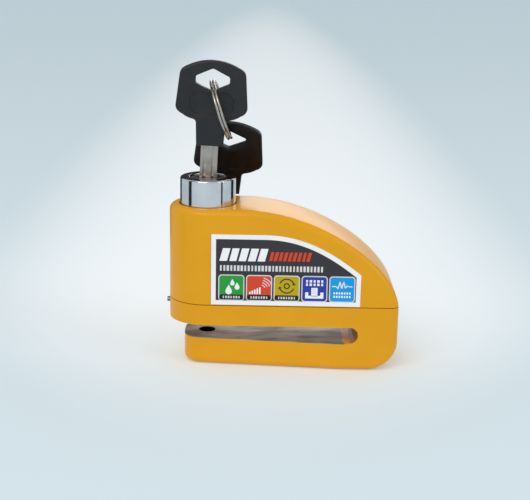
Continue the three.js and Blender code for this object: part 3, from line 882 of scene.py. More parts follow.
@dataclass
class Housing:
    """The painted cover and the slotted body, which share one outer form."""

    fillet: float = 2.5
    wall: float = 2.0
    dome_start: float = 14.0
    dome_shoulder: float = 43.5
    dome_knee: float = 16.0
    dome_drop: float = 2.0
    plan_corner: float = 3.5
    foot_corner: float = 12.0
    jaw_root: float = 50.0
    jaw_tip: float = -8.8
    jaw_tip_half: float = 10.1
    jaw_fillet: float = 2.6
    slot: tuple[float, float] = (11.0, 17.5)
    slot_end: float = 59.1
    barrel_bore: float = 11.2
    tower_bore: float = 10.9
    tower: float = 12.2
    tower_bore_span: Point = (20.0, 70.0)
    cover_bore_span: Point = (50.0, 80.0)
    boss: tuple[Point, Point] = ((8.0, 16.0), (-4.6, 4.6))
    boss_top: float = 58.0
    pocket: tuple[Point, Point] = ((8.0, 13.2), (-3.5, 3.5))
    pocket_gap: float = 0.5
    travel: float = 10.3
    pin_hole: float = 3.3
    pin_hole_span: Point = (3.0, 21.0)
    stop_hole: Point = (9.0, 17.0)
    stop_hole_half: float = 1.35
    stud_hole: tuple[Point, Point, Point] = ((-20.0, -12.5), (-1.1, 1.1), (22.3, 24.5))
    post: float = 1.8
    posts: tuple[Point, ...] = ((24.0, -6.5), (24.0, 6.5), (61.0, 0.0))
    screw_hole: float = 1.7
    screw_seat: float = 3.05
    seat_depth: float = 3.0
    screws: tuple[Point, ...] = ((19.5, -9.8), (19.5, 9.8), (56.0, -9.8), (56.0, 9.8))
    sounder: Point = (34.0, 43.5)
    sound_hole: float = 1.0
    sound_circle: float = 5.0
    along: Point = (-40.0, 90.0)
    across: Point = (-40.0, 40.0)
    beyond: float = 90.0
    beneath: float = -30.0
    half: float = field(init=False)
    right: float = field(init=False)
    top: float = field(init=False)
    seam: float = field(init=False)
    gasket: float = field(init=False)

    def __post_init__(self) -> None:
        """Reads the outer sizes from the frame."""
        low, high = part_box("upper_cover")
        self.half = high[1] / MM
        self.right = high[0] / MM
        self.top = high[2] / MM
        self.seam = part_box("seam_gasket")[0][2] / MM
        self.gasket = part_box("seam_gasket")[1][2] / MM
        LOG.info("housing from %s to %s", low, high)

    def side_outline(self, inwards: float) -> list[Point]:
        """The front view: a flat top over the barrel, then one long curve down to the foot.

        Args:
            inwards: Distance inside the outer surface.

        Returns:
            The outline in XZ.
        """
        right, top, left = self.right - inwards, self.top - inwards, -2 * self.half
        corner = (right - self.foot_corner, self.foot_corner + inwards)
        end, knee = (right, self.seam - self.dome_drop), (right, self.seam + self.dome_knee)
        dome = bezier([end, knee, (self.dome_shoulder, top), (self.dome_start, top)], 64)
        foot = arc(corner, self.foot_corner, -90, 0, 24)
        return tidy_outline([(left, inwards), *foot, *dome, (left, top)])

    def plan_outline(self, inwards: float) -> list[Point]:
        """The top view: round about the barrel, with small corners at the closed end.

        Args:
            inwards: Distance inside the outer surface.

        Returns:
            The outline in XY.
        """
        half, right = self.half - inwards, self.right - inwards
        corner = max(self.plan_corner - inwards, 0.6)
        return tidy_outline([
            *arc((right - corner, corner - half), corner, -90, 0, 12),
            *arc((right - corner, half - corner), corner, 0, 90, 12),
            *arc((0, 0), half, 90, 270, 64),
        ])

    def form(self, name: str, inwards: float, rim: float) -> bpy.types.Object:
        """The outer form of cover and body, moved inwards.

        Args:
            name: The object's name.
            inwards: Distance inside the outer surface.
            rim: Fillet of the long edges.

        Returns:
            The solid form.
        """
        deep = self.half + 0.01 - inwards
        made = as_object(name, prism(self.side_outline(inwards - 0.01), (-deep, deep), Plane.FRONT, rim, 8))
        plan = prism(self.plan_outline(inwards), (self.beneath, self.top - inwards), Plane.FLOOR, rim, 8)
        combine(made, plan, "INTERSECT")
        return made

    def jaw_outline(self) -> list[Point]:
        """The lower jaw from above: narrower towards its rounded tip.

        Returns:
            The outline in XY.
        """
        half, tip, end = self.half - 0.012, self.jaw_tip_half, self.jaw_tip
        round_tip = bezier([(-1.5, tip), (-6, tip - 0.4), (end, 7), (end, 2.5)], 16)
        far = self.jaw_root + 8
        return tidy_outline([
            *[(x, -y) for x, y in reversed(round_tip)], (self.jaw_root, -half), (far, -half),
            (far, half), (self.jaw_root, half), *round_tip,
        ])

    def slot_outline(self) -> list[Point]:
        """The disc slot from the front, with its round closed end.

        Returns:
            The outline in XZ.
        """
        low, high = self.slot
        radius = (high - low) / 2
        mouth, middle = self.along[0], (self.slot_end - radius, low + radius)
        return [(mouth, low), *arc(middle, radius, -90, 90, 32), (mouth, high)]

    def build_body(self, paint: bpy.types.Material) -> None:
        """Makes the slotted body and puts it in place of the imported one.

        Args:
            paint: The housing's paint.
        """
        middle = sum(self.slot) / 2
        body = self.form("slotted_body", 0, self.fillet)
        combine(body, block(self.along, self.across, (self.seam, self.beyond)))
        combine(body, block((self.along[0], self.jaw_root), self.across, (self.along[0], middle)))
        jaw = prism(self.jaw_outline(), (0, middle + self.jaw_fillet), Plane.FLOOR, self.jaw_fillet, 8)
        combine(body, jaw, "UNION")
        foot, tower_top = self.seam - 1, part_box("lower_body")[1][2] / MM
        combine(body, rod(self.tower, (foot, tower_top), steps=96), "UNION")
        combine(body, block(*self.boss, (foot, self.boss_top)), "UNION")
        for place in self.posts:
            combine(body, rod(self.post, (foot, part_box("circuit_board")[0][2] / MM), place), "UNION")
        combine(body, prism(self.slot_outline(), self.across, Plane.FRONT))
        combine(body, rod(self.tower_bore, self.tower_bore_span, steps=96))
        combine(body, rod(self.pin_hole, self.pin_hole_span))
        self.cut_latch(body)
        combine(body, block(*self.stud_hole))
        ceiling = self.slot[1] - 1
        for place in self.screws:
            combine(body, rod(self.screw_hole, (ceiling, self.seam + 1), place, steps=24))
            seat = (ceiling, self.slot[1] + self.seat_depth)
            combine(body, rod(self.screw_seat, seat, place, steps=32))
        smooth(body)
        dress(body, paint)
        stand_for(body, "housing", ["lower_body"])

    def cut_latch(self, body: bpy.types.Object) -> None:
        """Cuts the slug's pockets, for the barrel up and down, and the stop pin's hole.

        Args:
            body: The slotted body.
        """
        low, high = (corner[2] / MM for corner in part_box("locking_slug"))
        for drop in (0.0, self.travel):
            tall = (low - drop - self.pocket_gap, high - drop + self.pocket_gap)
            combine(body, block(*self.pocket, tall))
        pin = sum(corner[2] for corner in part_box("stop_pin")) / 2 / MM
        half = self.stop_hole_half
        combine(body, block(self.stop_hole, (-half, half), (pin - half, pin + half)))

    def build_cover(self, paint: bpy.types.Material) -> None:
        """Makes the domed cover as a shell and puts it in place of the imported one.

        Args:
            paint: The housing's paint.
        """
        cover = self.form("domed_cover", 0, self.fillet)
        hollow = self.form("hollow", self.wall, 0.8)
        inner = bmesh.new()
        inner.from_mesh(hollow.data)
        bpy.data.objects.remove(hollow)
        combine(cover, inner)
        combine(cover, block(self.along, self.across, (self.along[0], self.gasket)))
        combine(cover, rod(self.barrel_bore, self.cover_bore_span, steps=128))
        through = (self.half - self.wall - 1, self.half + 1)
        for spot in [self.sounder, *arc(self.sounder, self.sound_circle, 0, 300, 5)]:
            combine(cover, rod(self.sound_hole, through, spot, Plane.FRONT, 24))
        smooth(cover)
        dress(cover, paint)
        stand_for(cover, "housing", ["upper_cover"])

    def build(self) -> None:
        """Makes both painted pieces."""
        paint = Finishes.PAINT.material()
        self.build_body(paint)
        self.build_cover(paint)


# ---- Front plate ------------------------------------------------------------------------------


class Layer(Enum):
    """Inks of the front plate; each value is the ink's material slot."""

    WHITE = 0
    CHARCOAL = 1
    FRAME = 2
    GREEN = 3
    RED = 4
    YELLOW = 5
    BLUE = 6
    SKY = 7
    STRIP = 8
    DARK = 9


INK_COLOURS: dict[Layer, Colour] = {
    Layer.WHITE: (0.93, 0.93, 0.94),
    Layer.CHARCOAL: (0.042, 0.038, 0.045),
    Layer.FRAME: (0.72, 0.72, 0.72),
    Layer.GREEN: (0.025, 0.34, 0.045),
    Layer.RED: (0.70, 0.065, 0.022),
    Layer.YELLOW: (0.54, 0.39, 0.004),
    Layer.BLUE: (0.03, 0.05, 0.40),
    Layer.SKY: (0.005, 0.34, 0.78),
    Layer.STRIP: (0.02, 0.02, 0.02),
    Layer.DARK: (0.05, 0.04, 0.02),
}


@dataclass
class FrontPlate:
    """The printed plate: a white border, a charcoal field, bars for words and five picture tiles."""

    border: float = 1.8
    tile: float = 10.0
    tile_tall: float = 10.4
    pitch: float = 10.62
    first_tile: float = 9.85
    tile_middle: float = 7.5
    step: float = 0.025
    front: float = field(init=False)
    back: float = field(init=False)
    seam: float = field(init=False)
    mesh: bmesh.types.BMesh = field(init=False)

    def __post_init__(self) -> None:
        """Reads the plate's place from the frame."""
        low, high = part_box("label_front")
        self.front = low[1] / MM
        self.back = high[1] / MM
        self.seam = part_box("seam_gasket")[0][2] / MM
        self.mesh = bmesh.new()

    def add(self, outline: Sequence[Point], layer: Layer, height: int) -> None:
        """Prints one outline.

        Args:
            outline: Anticlockwise points, x from the barrel axis and z from the seam.
            layer: Its ink.
            height: How many ink steps it stands above the film.
        """
        raised = [(x, z + self.seam) for x, z in outline]
        made = prism(raised, (self.front - height * self.step, self.back), Plane.FRONT)
        for face in made.faces:
            face.material_index = layer.value
        data = bpy.data.meshes.new("print")
        made.to_mesh(data)
        made.free()
        self.mesh.from_mesh(data)
        bpy.data.meshes.remove(data)

    def plate_outline(self) -> list[Point]:
        """Straight left side and foot, a short upright right end, and a top that follows the dome."""
        dome = bezier([(59.5, 13.2), (48.1, 22.3), (37.1, 28.3), (23.1, 28.4)], 28)
        return tidy_outline([(2.1, 0.6), (59.4, 0.6), *dome, (2.1, 28.4)])

    def rounded(self, centre: Point, size: Point, corner: float) -> list[Point]:
        """A rounded rectangle.

        Args:
            centre: Its middle.
            size: Its width and height.
            corner: Radius of its corners.

        Returns:
            The outline.
        """
        x, z = size[0] / 2 - corner, size[1] / 2 - corner
        points: list[Point] = []
        for turn, (sx, sz) in enumerate(((1, 1), (-1, 1), (-1, -1), (1, -1))):
            start = 90 * turn
            points += arc((centre[0] + sx * x, centre[1] + sz * z), corner, start, start + 90, 5)
        return tidy_outline(points)

    def drop(self, centre: Point, radius: float) -> list[Point]:
        """A water drop with its point up.

        Args:
            centre: Middle of its round part.
            radius: Radius of its round part.

        Returns:
            The outline.
        """
        round_part = arc(centre, radius, 150, 390, 20)
        return [*round_part, (centre[0], centre[1] + 2.1 * radius)]

    def sector(self, centre: Point, radii: Point, angles: Point) -> list[Point]:
        """A piece of a flat ring.

        Args:
            centre: The ring's centre.
            radii: Its inner and outer radius.
            angles: First and last angle in degrees.

        Returns:
            The outline.
        """
        outer = arc(centre, radii[1], angles[0], angles[1], 16)
        inner = arc(centre, radii[0], angles[1], angles[0], 16)
        return [*outer, *inner]

    def bar(self, centre: Point, size: Point, slant: float = 0.0) -> list[Point]:
        """A bar.

        Args:
            centre: Its middle.
            size: Its width and height.
            slant: How far its top stands to the right of its foot.

        Returns:
            The outline.
        """
        x, z = size[0] / 2, size[1] / 2
        low, high = centre[0] - slant / 2, centre[0] + slant / 2
        return [(low - x, centre[1] - z), (low + x, centre[1] - z), (high + x, centre[1] + z),
                (high - x, centre[1] + z)]

    def stroke(self, points: Sequence[Point], width: float) -> list[list[Point]]:
        """A line of short bars.

        Args:
            points: Where the bars meet.
            width: Their width.

        Returns:
            One outline for each bar.
        """
        bars = []
        for first, last in zip(points, points[1:]):
            a, b = Vector(first), Vector(last)
            side = Vector((a.y - b.y, b.x - a.x)).normalized() * width / 2
            bars.append([tuple(a - side), tuple(b - side), tuple(b + side), tuple(a + side)])
        return bars

    def tile_centre(self, index: int) -> Point:
        """The middle of a tile."""
        return (self.first_tile + index * self.pitch, self.tile_middle)

    def print_tiles(self) -> None:
        """Prints the five coloured tiles, three of them with a dark strip at the foot."""
        inks = (Layer.GREEN, Layer.RED, Layer.YELLOW, Layer.BLUE, Layer.SKY)
        for index, ink in enumerate(inks):
            x, z = self.tile_centre(index)
            self.add(self.rounded((x, z), (self.tile, self.tile_tall), 1.3), Layer.FRAME, 2)
            self.add(self.rounded((x, z), (self.tile - 0.8, self.tile_tall - 0.8), 1.0), ink, 3)
            if index < 3:
                foot = z - self.tile_tall / 2
                self.add(self.rounded((x, foot + 1.45), (self.tile - 0.8, 2.1), 0.7), Layer.STRIP, 4)
                for k in range(7):
                    mark = self.bar((x - 3 + k, foot + 1.45), (0.42 + 0.12 * (k % 3), 0.95))
                    self.add(mark, Layer.FRAME, 5)

    def print_drops(self) -> None:
        """Three water drops, on the first tile."""
        x, z = self.tile_centre(0)
        for dx, dz, radius in ((0.4, 1.7, 0.85), (2.2, 0.2, 0.95), (-1.0, -1.4, 1.25)):
            self.add(self.drop((x + dx, z + dz), radius), Layer.WHITE, 5)

    def print_sound(self) -> None:
        """Arcs of sound over a row of level bars, on the second tile."""
        x, z = self.tile_centre(1)
        corner = (x + 0.8, z - 0.2)
        for k in range(4):
            self.add(self.sector(corner, (1.3 + k * 0.95, 1.65 + k * 0.95), (18, 78)), Layer.FRAME, 5)
        for k in range(5):
            tall = 0.9 + 0.45 * k
            self.add(self.bar((x - 3.5 + 0.95 * k, z - 2.4 + tall / 2), (0.6, tall)), Layer.WHITE, 5)

    def print_turn(self) -> None:
        """A ring of two arrows round a pin's end, on the third tile."""
        x, z = self.tile_centre(2)
        z += 1.0
        for start in (20, 200):
            self.add(self.sector((x, z), (2.55, 3.0), (start, start + 140)), Layer.DARK, 5)
            head = arc((x, z), 2.8, start, start, 1)[0]
            turn = [arc(head, 0.8, start + a, start + a, 1)[0] for a in (0, 180, 270)]
            self.add(turn, Layer.DARK, 5)
        self.add(arc((x, z), 1.2, 0, 360, 24)[:-1], Layer.DARK, 5)
        self.add(arc((x, z), 0.7, 0, 360, 24)[:-1], Layer.YELLOW, 6)

    def print_push(self) -> None:
        """A pin pressed down into a U-shaped body, on the fourth tile."""
        x, z = self.tile_centre(3)
        for row in (3.1, 1.75):
            for k in range(5):
                mark = self.bar((x - 2.9 + 1.45 * k, z + row), (0.75 + 0.2 * (k % 2), 0.95))
                self.add(mark, Layer.WHITE, 5)
        self.add(self.bar((x, z - 1.2), (2.4, 3.4)), Layer.WHITE, 5)
        self.add(self.bar((x, z - 3.2), (7.0, 1.1)), Layer.WHITE, 5)
        for side in (-1, 1):
            self.add(self.bar((x + side * 2.9, z - 2.3), (1.2, 2.0)), Layer.WHITE, 6)
        for k in range(3):
            self.add(self.bar((x, z - 0.2 - 0.8 * k), (1.5, 0.3)), Layer.FRAME, 7)

    def print_pulse(self) -> None:
        """A jumping trace over two rows of marks, on the fifth tile."""
        x, z = self.tile_centre(4)
        trace = [(-3.9, 1.2), (-2.2, 1.2), (-1.6, 0.2), (-0.9, 3.3), (-0.2, 0.1), (0.5, 3.3), (1.2, 0.4),
                 (1.8, 1.6), (2.4, 1.2), (3.9, 1.2)]
        for line in self.stroke([(x + dx, z + dz) for dx, dz in trace], 0.34):
            self.add(line, Layer.WHITE, 5)
        for row in (-1.5, -2.9):
            for k in range(7):
                self.add(self.bar((x - 3.0 + k, z + row), (0.55 + 0.1 * (k % 2), 0.8)), Layer.WHITE, 5)

    def print_words(self, inks: dict[Layer, bpy.types.Material]) -> list[bpy.types.Object]:
        """Rows of slanted bars where a maker would print words.

        Args:
            inks: The plate's inks.

        Returns:
            The rows.
        """
        rows = []
        depth = (self.back - self.front + 3 * self.step) * MM
        plans = (
            ("title_bars", Layer.WHITE, 5, 3.62, 3.0, 5.0, 0.28, (7.3, 20.6), 3),
            ("subtitle_bars", Layer.RED, 9, 1.78, 1.35, 3.5, 0.28, (25.1, 20.1), 5),
            ("small_bars", Layer.FRAME, 30, 1.33, 0.95, 2.2, 0.0, (5.8, 15.3), 8),
        )
        for name, ink, count, pitch, wide, tall, slant, (x, z), seed in plans:
            row = print_row(
                name, inks[ink],
                {"Count": count, "Pitch": pitch * MM, "Width": wide * MM, "Tall": tall * MM,
                 "Thick": depth, "Slant": slant, "Seed": seed},
            )
            middle = (self.back + self.front - 3 * self.step) / 2
            row.data.transform(Matrix.Translation(Vector((x, middle, z + self.seam)) * MM))
            rows.append(row)
        return rows

    def build(self) -> None:
        """Makes the plate and its printing as one piece; the word rows are separate pieces that ride on the
        housing.
        """
        inks = {layer: Ink(layer.name.lower(), colour).material() for layer, colour in INK_COLOURS.items()}
        self.add(self.plate_outline(), Layer.WHITE, 0)
        self.add(inset(self.plate_outline(), self.border), Layer.CHARCOAL, 1)
        self.print_tiles()
        self.print_drops()
        self.print_sound()
        self.print_turn()
        self.print_push()
        self.print_pulse()
        plate = as_object("front_plate", self.mesh)
        dress(plate, *inks.values())
        stand_for(plate, "housing", ["label_front"])
        for row in self.print_words(inks):
            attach(row, "housing")
            LOG.info("%s rides on housing", row.name)


# ---- Barrel -----------------------------------------------------------------------------------


@dataclass
class Barrel:
    """The chromed sleeve, with its softly broken rim, and the return spring below it."""

    bore: float = 7.0
    cam_bore: float = 8.7
    chamber_top: float = 46.4
    rim: float = 0.7
    lip: float = 0.35
    foot_edge: float = 0.3
    slug_window: tuple[Point, Point, Point] = ((6.0, 12.0), (-3.3, 3.3), (40.8, 44.8))
    stop_groove: tuple[Point, Point, Point] = ((9.3, 12.0), (-1.45, 1.45), (48.05, 61.25))
    spring_wire: float = 0.6
    spring_turns: float = 5.5
    spring_floor: float = 20.0

    def build_sleeve(self) -> None:
        """Turns the sleeve and cuts its slug window and stop groove."""
        low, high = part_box("barrel_sleeve")
        radius, foot, top = high[0] / MM, low[2] / MM, high[2] / MM
        shoulder = arc((radius - self.rim, top - self.rim), self.rim, 0, 90, 8)
        lip = arc((self.bore + self.lip, top - self.lip), self.lip, 90, 180, 5)
        foot_rim = [(radius - self.foot_edge, foot), (radius, foot + self.foot_edge)]
        outline = [(self.cam_bore, foot), *foot_rim, *shoulder, *lip, (self.bore, self.chamber_top),
                   (self.cam_bore, self.chamber_top)]
        sleeve = as_object("chrome_sleeve", turned(tidy_outline(outline), 160, closed=True))
        combine(sleeve, block(*self.slug_window))
        combine(sleeve, block(*self.stop_groove))
        smooth(sleeve)
        dress(sleeve, Finishes.CHROME.material())
        stand_for(sleeve, "barrel", ["barrel_sleeve"])

    def build_spring(self, travel: float) -> None:
        """Coils the return spring at its full length.

        Args:
            travel: How far the barrel goes down, in metres.
        """
        low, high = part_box("return_spring")
        wire = self.spring_wire * MM
        radius = (high[0] - low[0]) / 2 - wire
        tall = high[2] - low[2] - 2 * wire
        spring = coil(
            "barrel_spring", Finishes.SPRING.material(),
            {"Radius": radius, "Height": tall, "Turns": self.spring_turns, "Wire": wire, "Steps": 48},
            doubled=False,
        )
        spring.data.transform(Matrix.Translation((0, 0, low[2] + wire)))
        floor = self.spring_floor * MM
        keep = (high[2] - floor - travel) / (high[2] - floor)
        stand_for(spring, "housing", ["return_spring"])
        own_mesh(spring)


# ---- Keys and ring ----------------------------------------------------------------------------


@dataclass
class KeyHead:
    """A key's moulded grip: tapered neck, broad arched head, angular eye and a sunk panel."""

    showing: float = 11.9
    neck: float = 10.0
    neck_half: float = 5.2
    neck_at_head: float = 5.8
    tall: float = 22.7
    thick: float = 3.4
    rim: float = 0.85
    shoulder_drop: float = 5.6
    eye_drop: float = 7.4
    eye_half: Point = (6.5, 4.35)
    eye_side_half: float = 1.3
    eye_soft: float = 0.6
    panel_drop: float = 16.3
    panel_half: Point = (5.0, 0.9)
    panel_corner: float = 3.3
    panel_depth: float = 0.4
    blade_slot: Point = (3.36, 1.16)
    blade_slot_deep: float = 6.06
    soft_edge: float = 0.18

    @property
    def top(self) -> float:
        """Height of the head's top above the barrel face."""
        return self.showing + self.neck + self.tall

    def outline(self) -> list[Point]:
        """The grip from the front.

        Returns:
            The outline in XZ.
        """
        base = self.showing + self.neck
        shoulder = self.top - self.shoulder_drop
        right = [
            *bezier([(5.7, base - 1.3), (self.neck_at_head, base - 0.1), (7.2, base + 0.15)], 6),
            *bezier([(7.2, base + 0.15), (9.4, base + 0.6), (11.2, base + 1.9)], 8),
            *bezier([(11.2, base + 1.9), (13.9, base + 3.1), (13.7, base + 5.4)], 12),
            *bezier([(12.6, shoulder), (12.4, shoulder + 1.7), (10.8, shoulder + 2.6)], 10),
            *bezier([(10.8, shoulder + 2.6), (5.4, self.top), (0, self.top)], 16),
        ]
        left = [(-x, z) for x, z in reversed(right)]
        neck = [(-self.neck_half, self.showing), (self.neck_half, self.showing)]
        return tidy_outline([*neck, *right, *left])

    def eye(self) -> list[Point]:
        """The six-sided eye with softened corners.

        Returns:
            The outline in XZ.
        """
        middle = self.top - self.eye_drop
        wide, tall = self.eye_half
        side = self.eye_side_half
        corners = [(0, -tall), (wide, -side), (wide, side), (0, tall), (-wide, side), (-wide, -side)]
        points: list[Point] = []
        for i, corner in enumerate(corners):
            before, here, after = Vector(corners[i - 1]), Vector(corner), Vector(corners[(i + 1) % 6])
            start = here + (before - here).normalized() * self.eye_soft
            end = here + (after - here).normalized() * self.eye_soft
            points += bezier([tuple(start), tuple(here), tuple(end)], 4)
        return [(x, z + middle) for x, z in points]

    def panel(self) -> list[Point]:
        """The sunk panel with its round corners.

        Returns:
            The outline in XZ.
        """
        middle = self.top - self.panel_drop
        wide, tall = self.panel_half
        points: list[Point] = []
        for turn, (sx, sz) in enumerate(((1, 1), (-1, 1), (-1, -1), (1, -1))):
            corner = (sx * wide, middle + sz * tall)
            points += arc(corner, self.panel_corner, 90 * turn, 90 * turn + 90, 8)
        return tidy_outline(points)

    def build(self, name: str, node: str, body: str, finish: Finish, place: Matrix) -> None:
        """Makes one grip.

        Args:
            name: The object's name.
            node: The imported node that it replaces.
            body: The body that it rides on.
            finish: Its plastic.
            place: From the key's own frame to the lock's.
        """
        half = self.thick / 2
        grip = as_object(name, prism(self.outline(), (-half, half), Plane.FRONT, self.rim, 6))
        combine(grip, prism(self.eye(), (-5, 5), Plane.FRONT))
        for face in (-half, half):
            sunk = (face - self.panel_depth, face + self.panel_depth)
            combine(grip, prism(self.panel(), sunk, Plane.FRONT, 0.25, 3))
        wide, deep = self.blade_slot
        reach = (self.showing - 1, self.showing + self.blade_slot_deep)
        combine(grip, block((-wide, wide), (-deep, deep), reach))
        grip.data.transform(place)
        edge = grip.modifiers.new("soft", "BEVEL")
        edge.width = self.soft_edge * MM
        edge.segments = 2
        edge.limit_method = "ANGLE"
        edge.angle_limit = math.radians(50)
        bake(grip)
        smooth(grip)
        dress(grip, finish.material())
        stand_for(grip, body, [node])


@dataclass
class KeySet:
    """Both keys and the split ring that joins them, hung from the joints of the frame."""

    joints: dict[str, dict[str, Any]]
    barrel_top: float = 73.3
    spare_tilt: float = math.radians(22)
    spare_roll: float = math.radians(3)
    slant: float = math.radians(18)
    ring_radius: float = 11.5
    ring_back: float = 5.0
    ring_wire: float = 0.5
    ring_turns: float = 1.92
    ring_step: float = 1.12
    ring_start: float = 0.08 * math.pi
    hang: float = 39.85

    def key_place(self) -> Matrix:
        """The turning key leans the way that it slides out.

        Returns:
            From the key's own frame to the lock's.
        """
        axis = self.joints["key_withdraw"]["axis"]
        lean = math.atan2(axis[0], axis[2])
        return Matrix.Translation((0, 0, self.barrel_top * MM)) @ Matrix.Rotation(lean, 4, "Y")

    def spare_place(self) -> Matrix:
        """The spare key hangs from the ring, its head nearer the front.

        Returns:
            From the key's own frame to the lock's.
        """
        hinge = Vector(self.joints["spare_swing"]["pos_m"])
        tilt = Matrix.Rotation(self.spare_tilt, 4, "X") @ Matrix.Rotation(self.spare_roll, 4, "Y")
        return Matrix.Translation(hinge) @ tilt @ Matrix.Translation((0, 0, -self.hang * MM))

    def build_ring(self) -> None:
        """Coils the split ring through both eyes."""
        contact = Vector(self.joints["ring_swing"]["pos_m"])
        drop = math.sqrt(self.ring_radius**2 - self.ring_back**2) * MM
        centre = contact + Vector((math.sin(self.slant), 0, -math.cos(self.slant))) * drop
        centre.y = self.ring_back * MM
        ring = coil(
            "key_ring", Finishes.RING.material(),
            {"Radius": self.ring_radius * MM, "Height": self.ring_step * MM, "Turns": self.ring_turns,
             "Wire": self.ring_wire * MM, "Steps": 130},
            doubled=True,
        )
        start = Matrix.Rotation(self.ring_start, 4, "Z")
        stand = Matrix.Rotation(math.pi / 2 - self.slant, 4, "Y")
        ring.data.transform(Matrix.Translation(centre) @ stand @ start)
        stand_for(ring, "ring", ["split_ring"])

    def build(self) -> None:
        """Makes the grips and the ring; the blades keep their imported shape."""
        head = KeyHead()
        head.build("key_grip", "key_bow", "key", Finishes.GRIP, self.key_place())
        head.build("spare_grip", "spare_key_bow", "spare_key", Finishes.SPARE_GRIP_IN_SHADE, self.spare_place())
        self.build_ring()


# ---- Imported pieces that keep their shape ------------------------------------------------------


def node_finishes() -> dict[str, Finish]:
    """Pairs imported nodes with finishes.

    Returns:
        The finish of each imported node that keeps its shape.
    """
    table: dict[str, Finish] = {
        "seam_gasket": Finishes.RUBBER, "barrel_wiper": Finishes.RUBBER, "stop_pin": Finishes.ZINC,
        "seam_stud": Finishes.MAGNET, "circuit_board": Finishes.BOARD, "battery_cage": Finishes.CAGE,
        "contact_lower": Finishes.BRASS, "contact_bridge": Finishes.BRASS, "buzzer_cup": Finishes.BLACK,
        "buzzer_disc": Finishes.BRASS, "control_chip": Finishes.BLACK, "vibration_sensor": Finishes.CELL,
        "boost_coil": Finishes.BLACK, "storage_capacitor": Finishes.BLACK, "reed_switch": Finishes.REED,
        "barrel_end_cap": Finishes.ZINC, "lock_pin": Finishes.SPRING, "arming_magnet": Finishes.MAGNET,
        "locking_slug": Finishes.ZINC, "key_plug": Finishes.PLUG, "plug_cam": Finishes.ZINC,
        "cam_screw": Finishes.ZINC, "key_blade": Finishes.BLADE, "spare_key_blade": Finishes.SPARE_BLADE_IN_SHADE,
    }
    for count, stem, finish in ((4, "cover_screw", Finishes.ZINC), (6, "button_cell", Finishes.CELL),
                                (2, "buzzer_lead", Finishes.LEAD), (5, "wafer", Finishes.PLUG_BODY)):
        for index in range(1, count + 1):
            table[f"{stem}_{index}"] = finish
    return table


def finish_packed(nodes: dict[str, bpy.types.Object]) -> None:
    """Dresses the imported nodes, rounds their edges a little and shades them smooth.

    Args:
        nodes: The frame's nodes by name.
    """
    made: dict[str, bpy.types.Material] = {}
    for name, finish in node_finishes().items():
        piece = nodes[name]
        material = made.setdefault(finish.name, finish.material())
        dress(piece, material)
        weld = piece.modifiers.new("weld", "WELD")
        weld.merge_threshold = WELD
        edge = piece.modifiers.new("edges", "BEVEL")
        edge.width = 0.06 * MM
        edge.segments = 2
        edge.limit_method = "ANGLE"
        edge.angle_limit = math.radians(40)
        split = piece.modifiers.new("crisp", "EDGE_SPLIT")
        split.split_angle = math.radians(30)
        piece.data.polygons.foreach_set("use_smooth", [True] * len(piece.data.polygons))
        LOG.info("%s is %s", name, finish.name)


# ---- Studio -----------------------------------------------------------------------------------


@dataclass(frozen=True)
class Lamp:
    """One soft oblong light: where it hangs, in metres, and how it shines, in watts."""

    name: str
    place: tuple[float, float, float]
    size: Point
    power: float
    tint: Colour
    lights_floor: bool = True


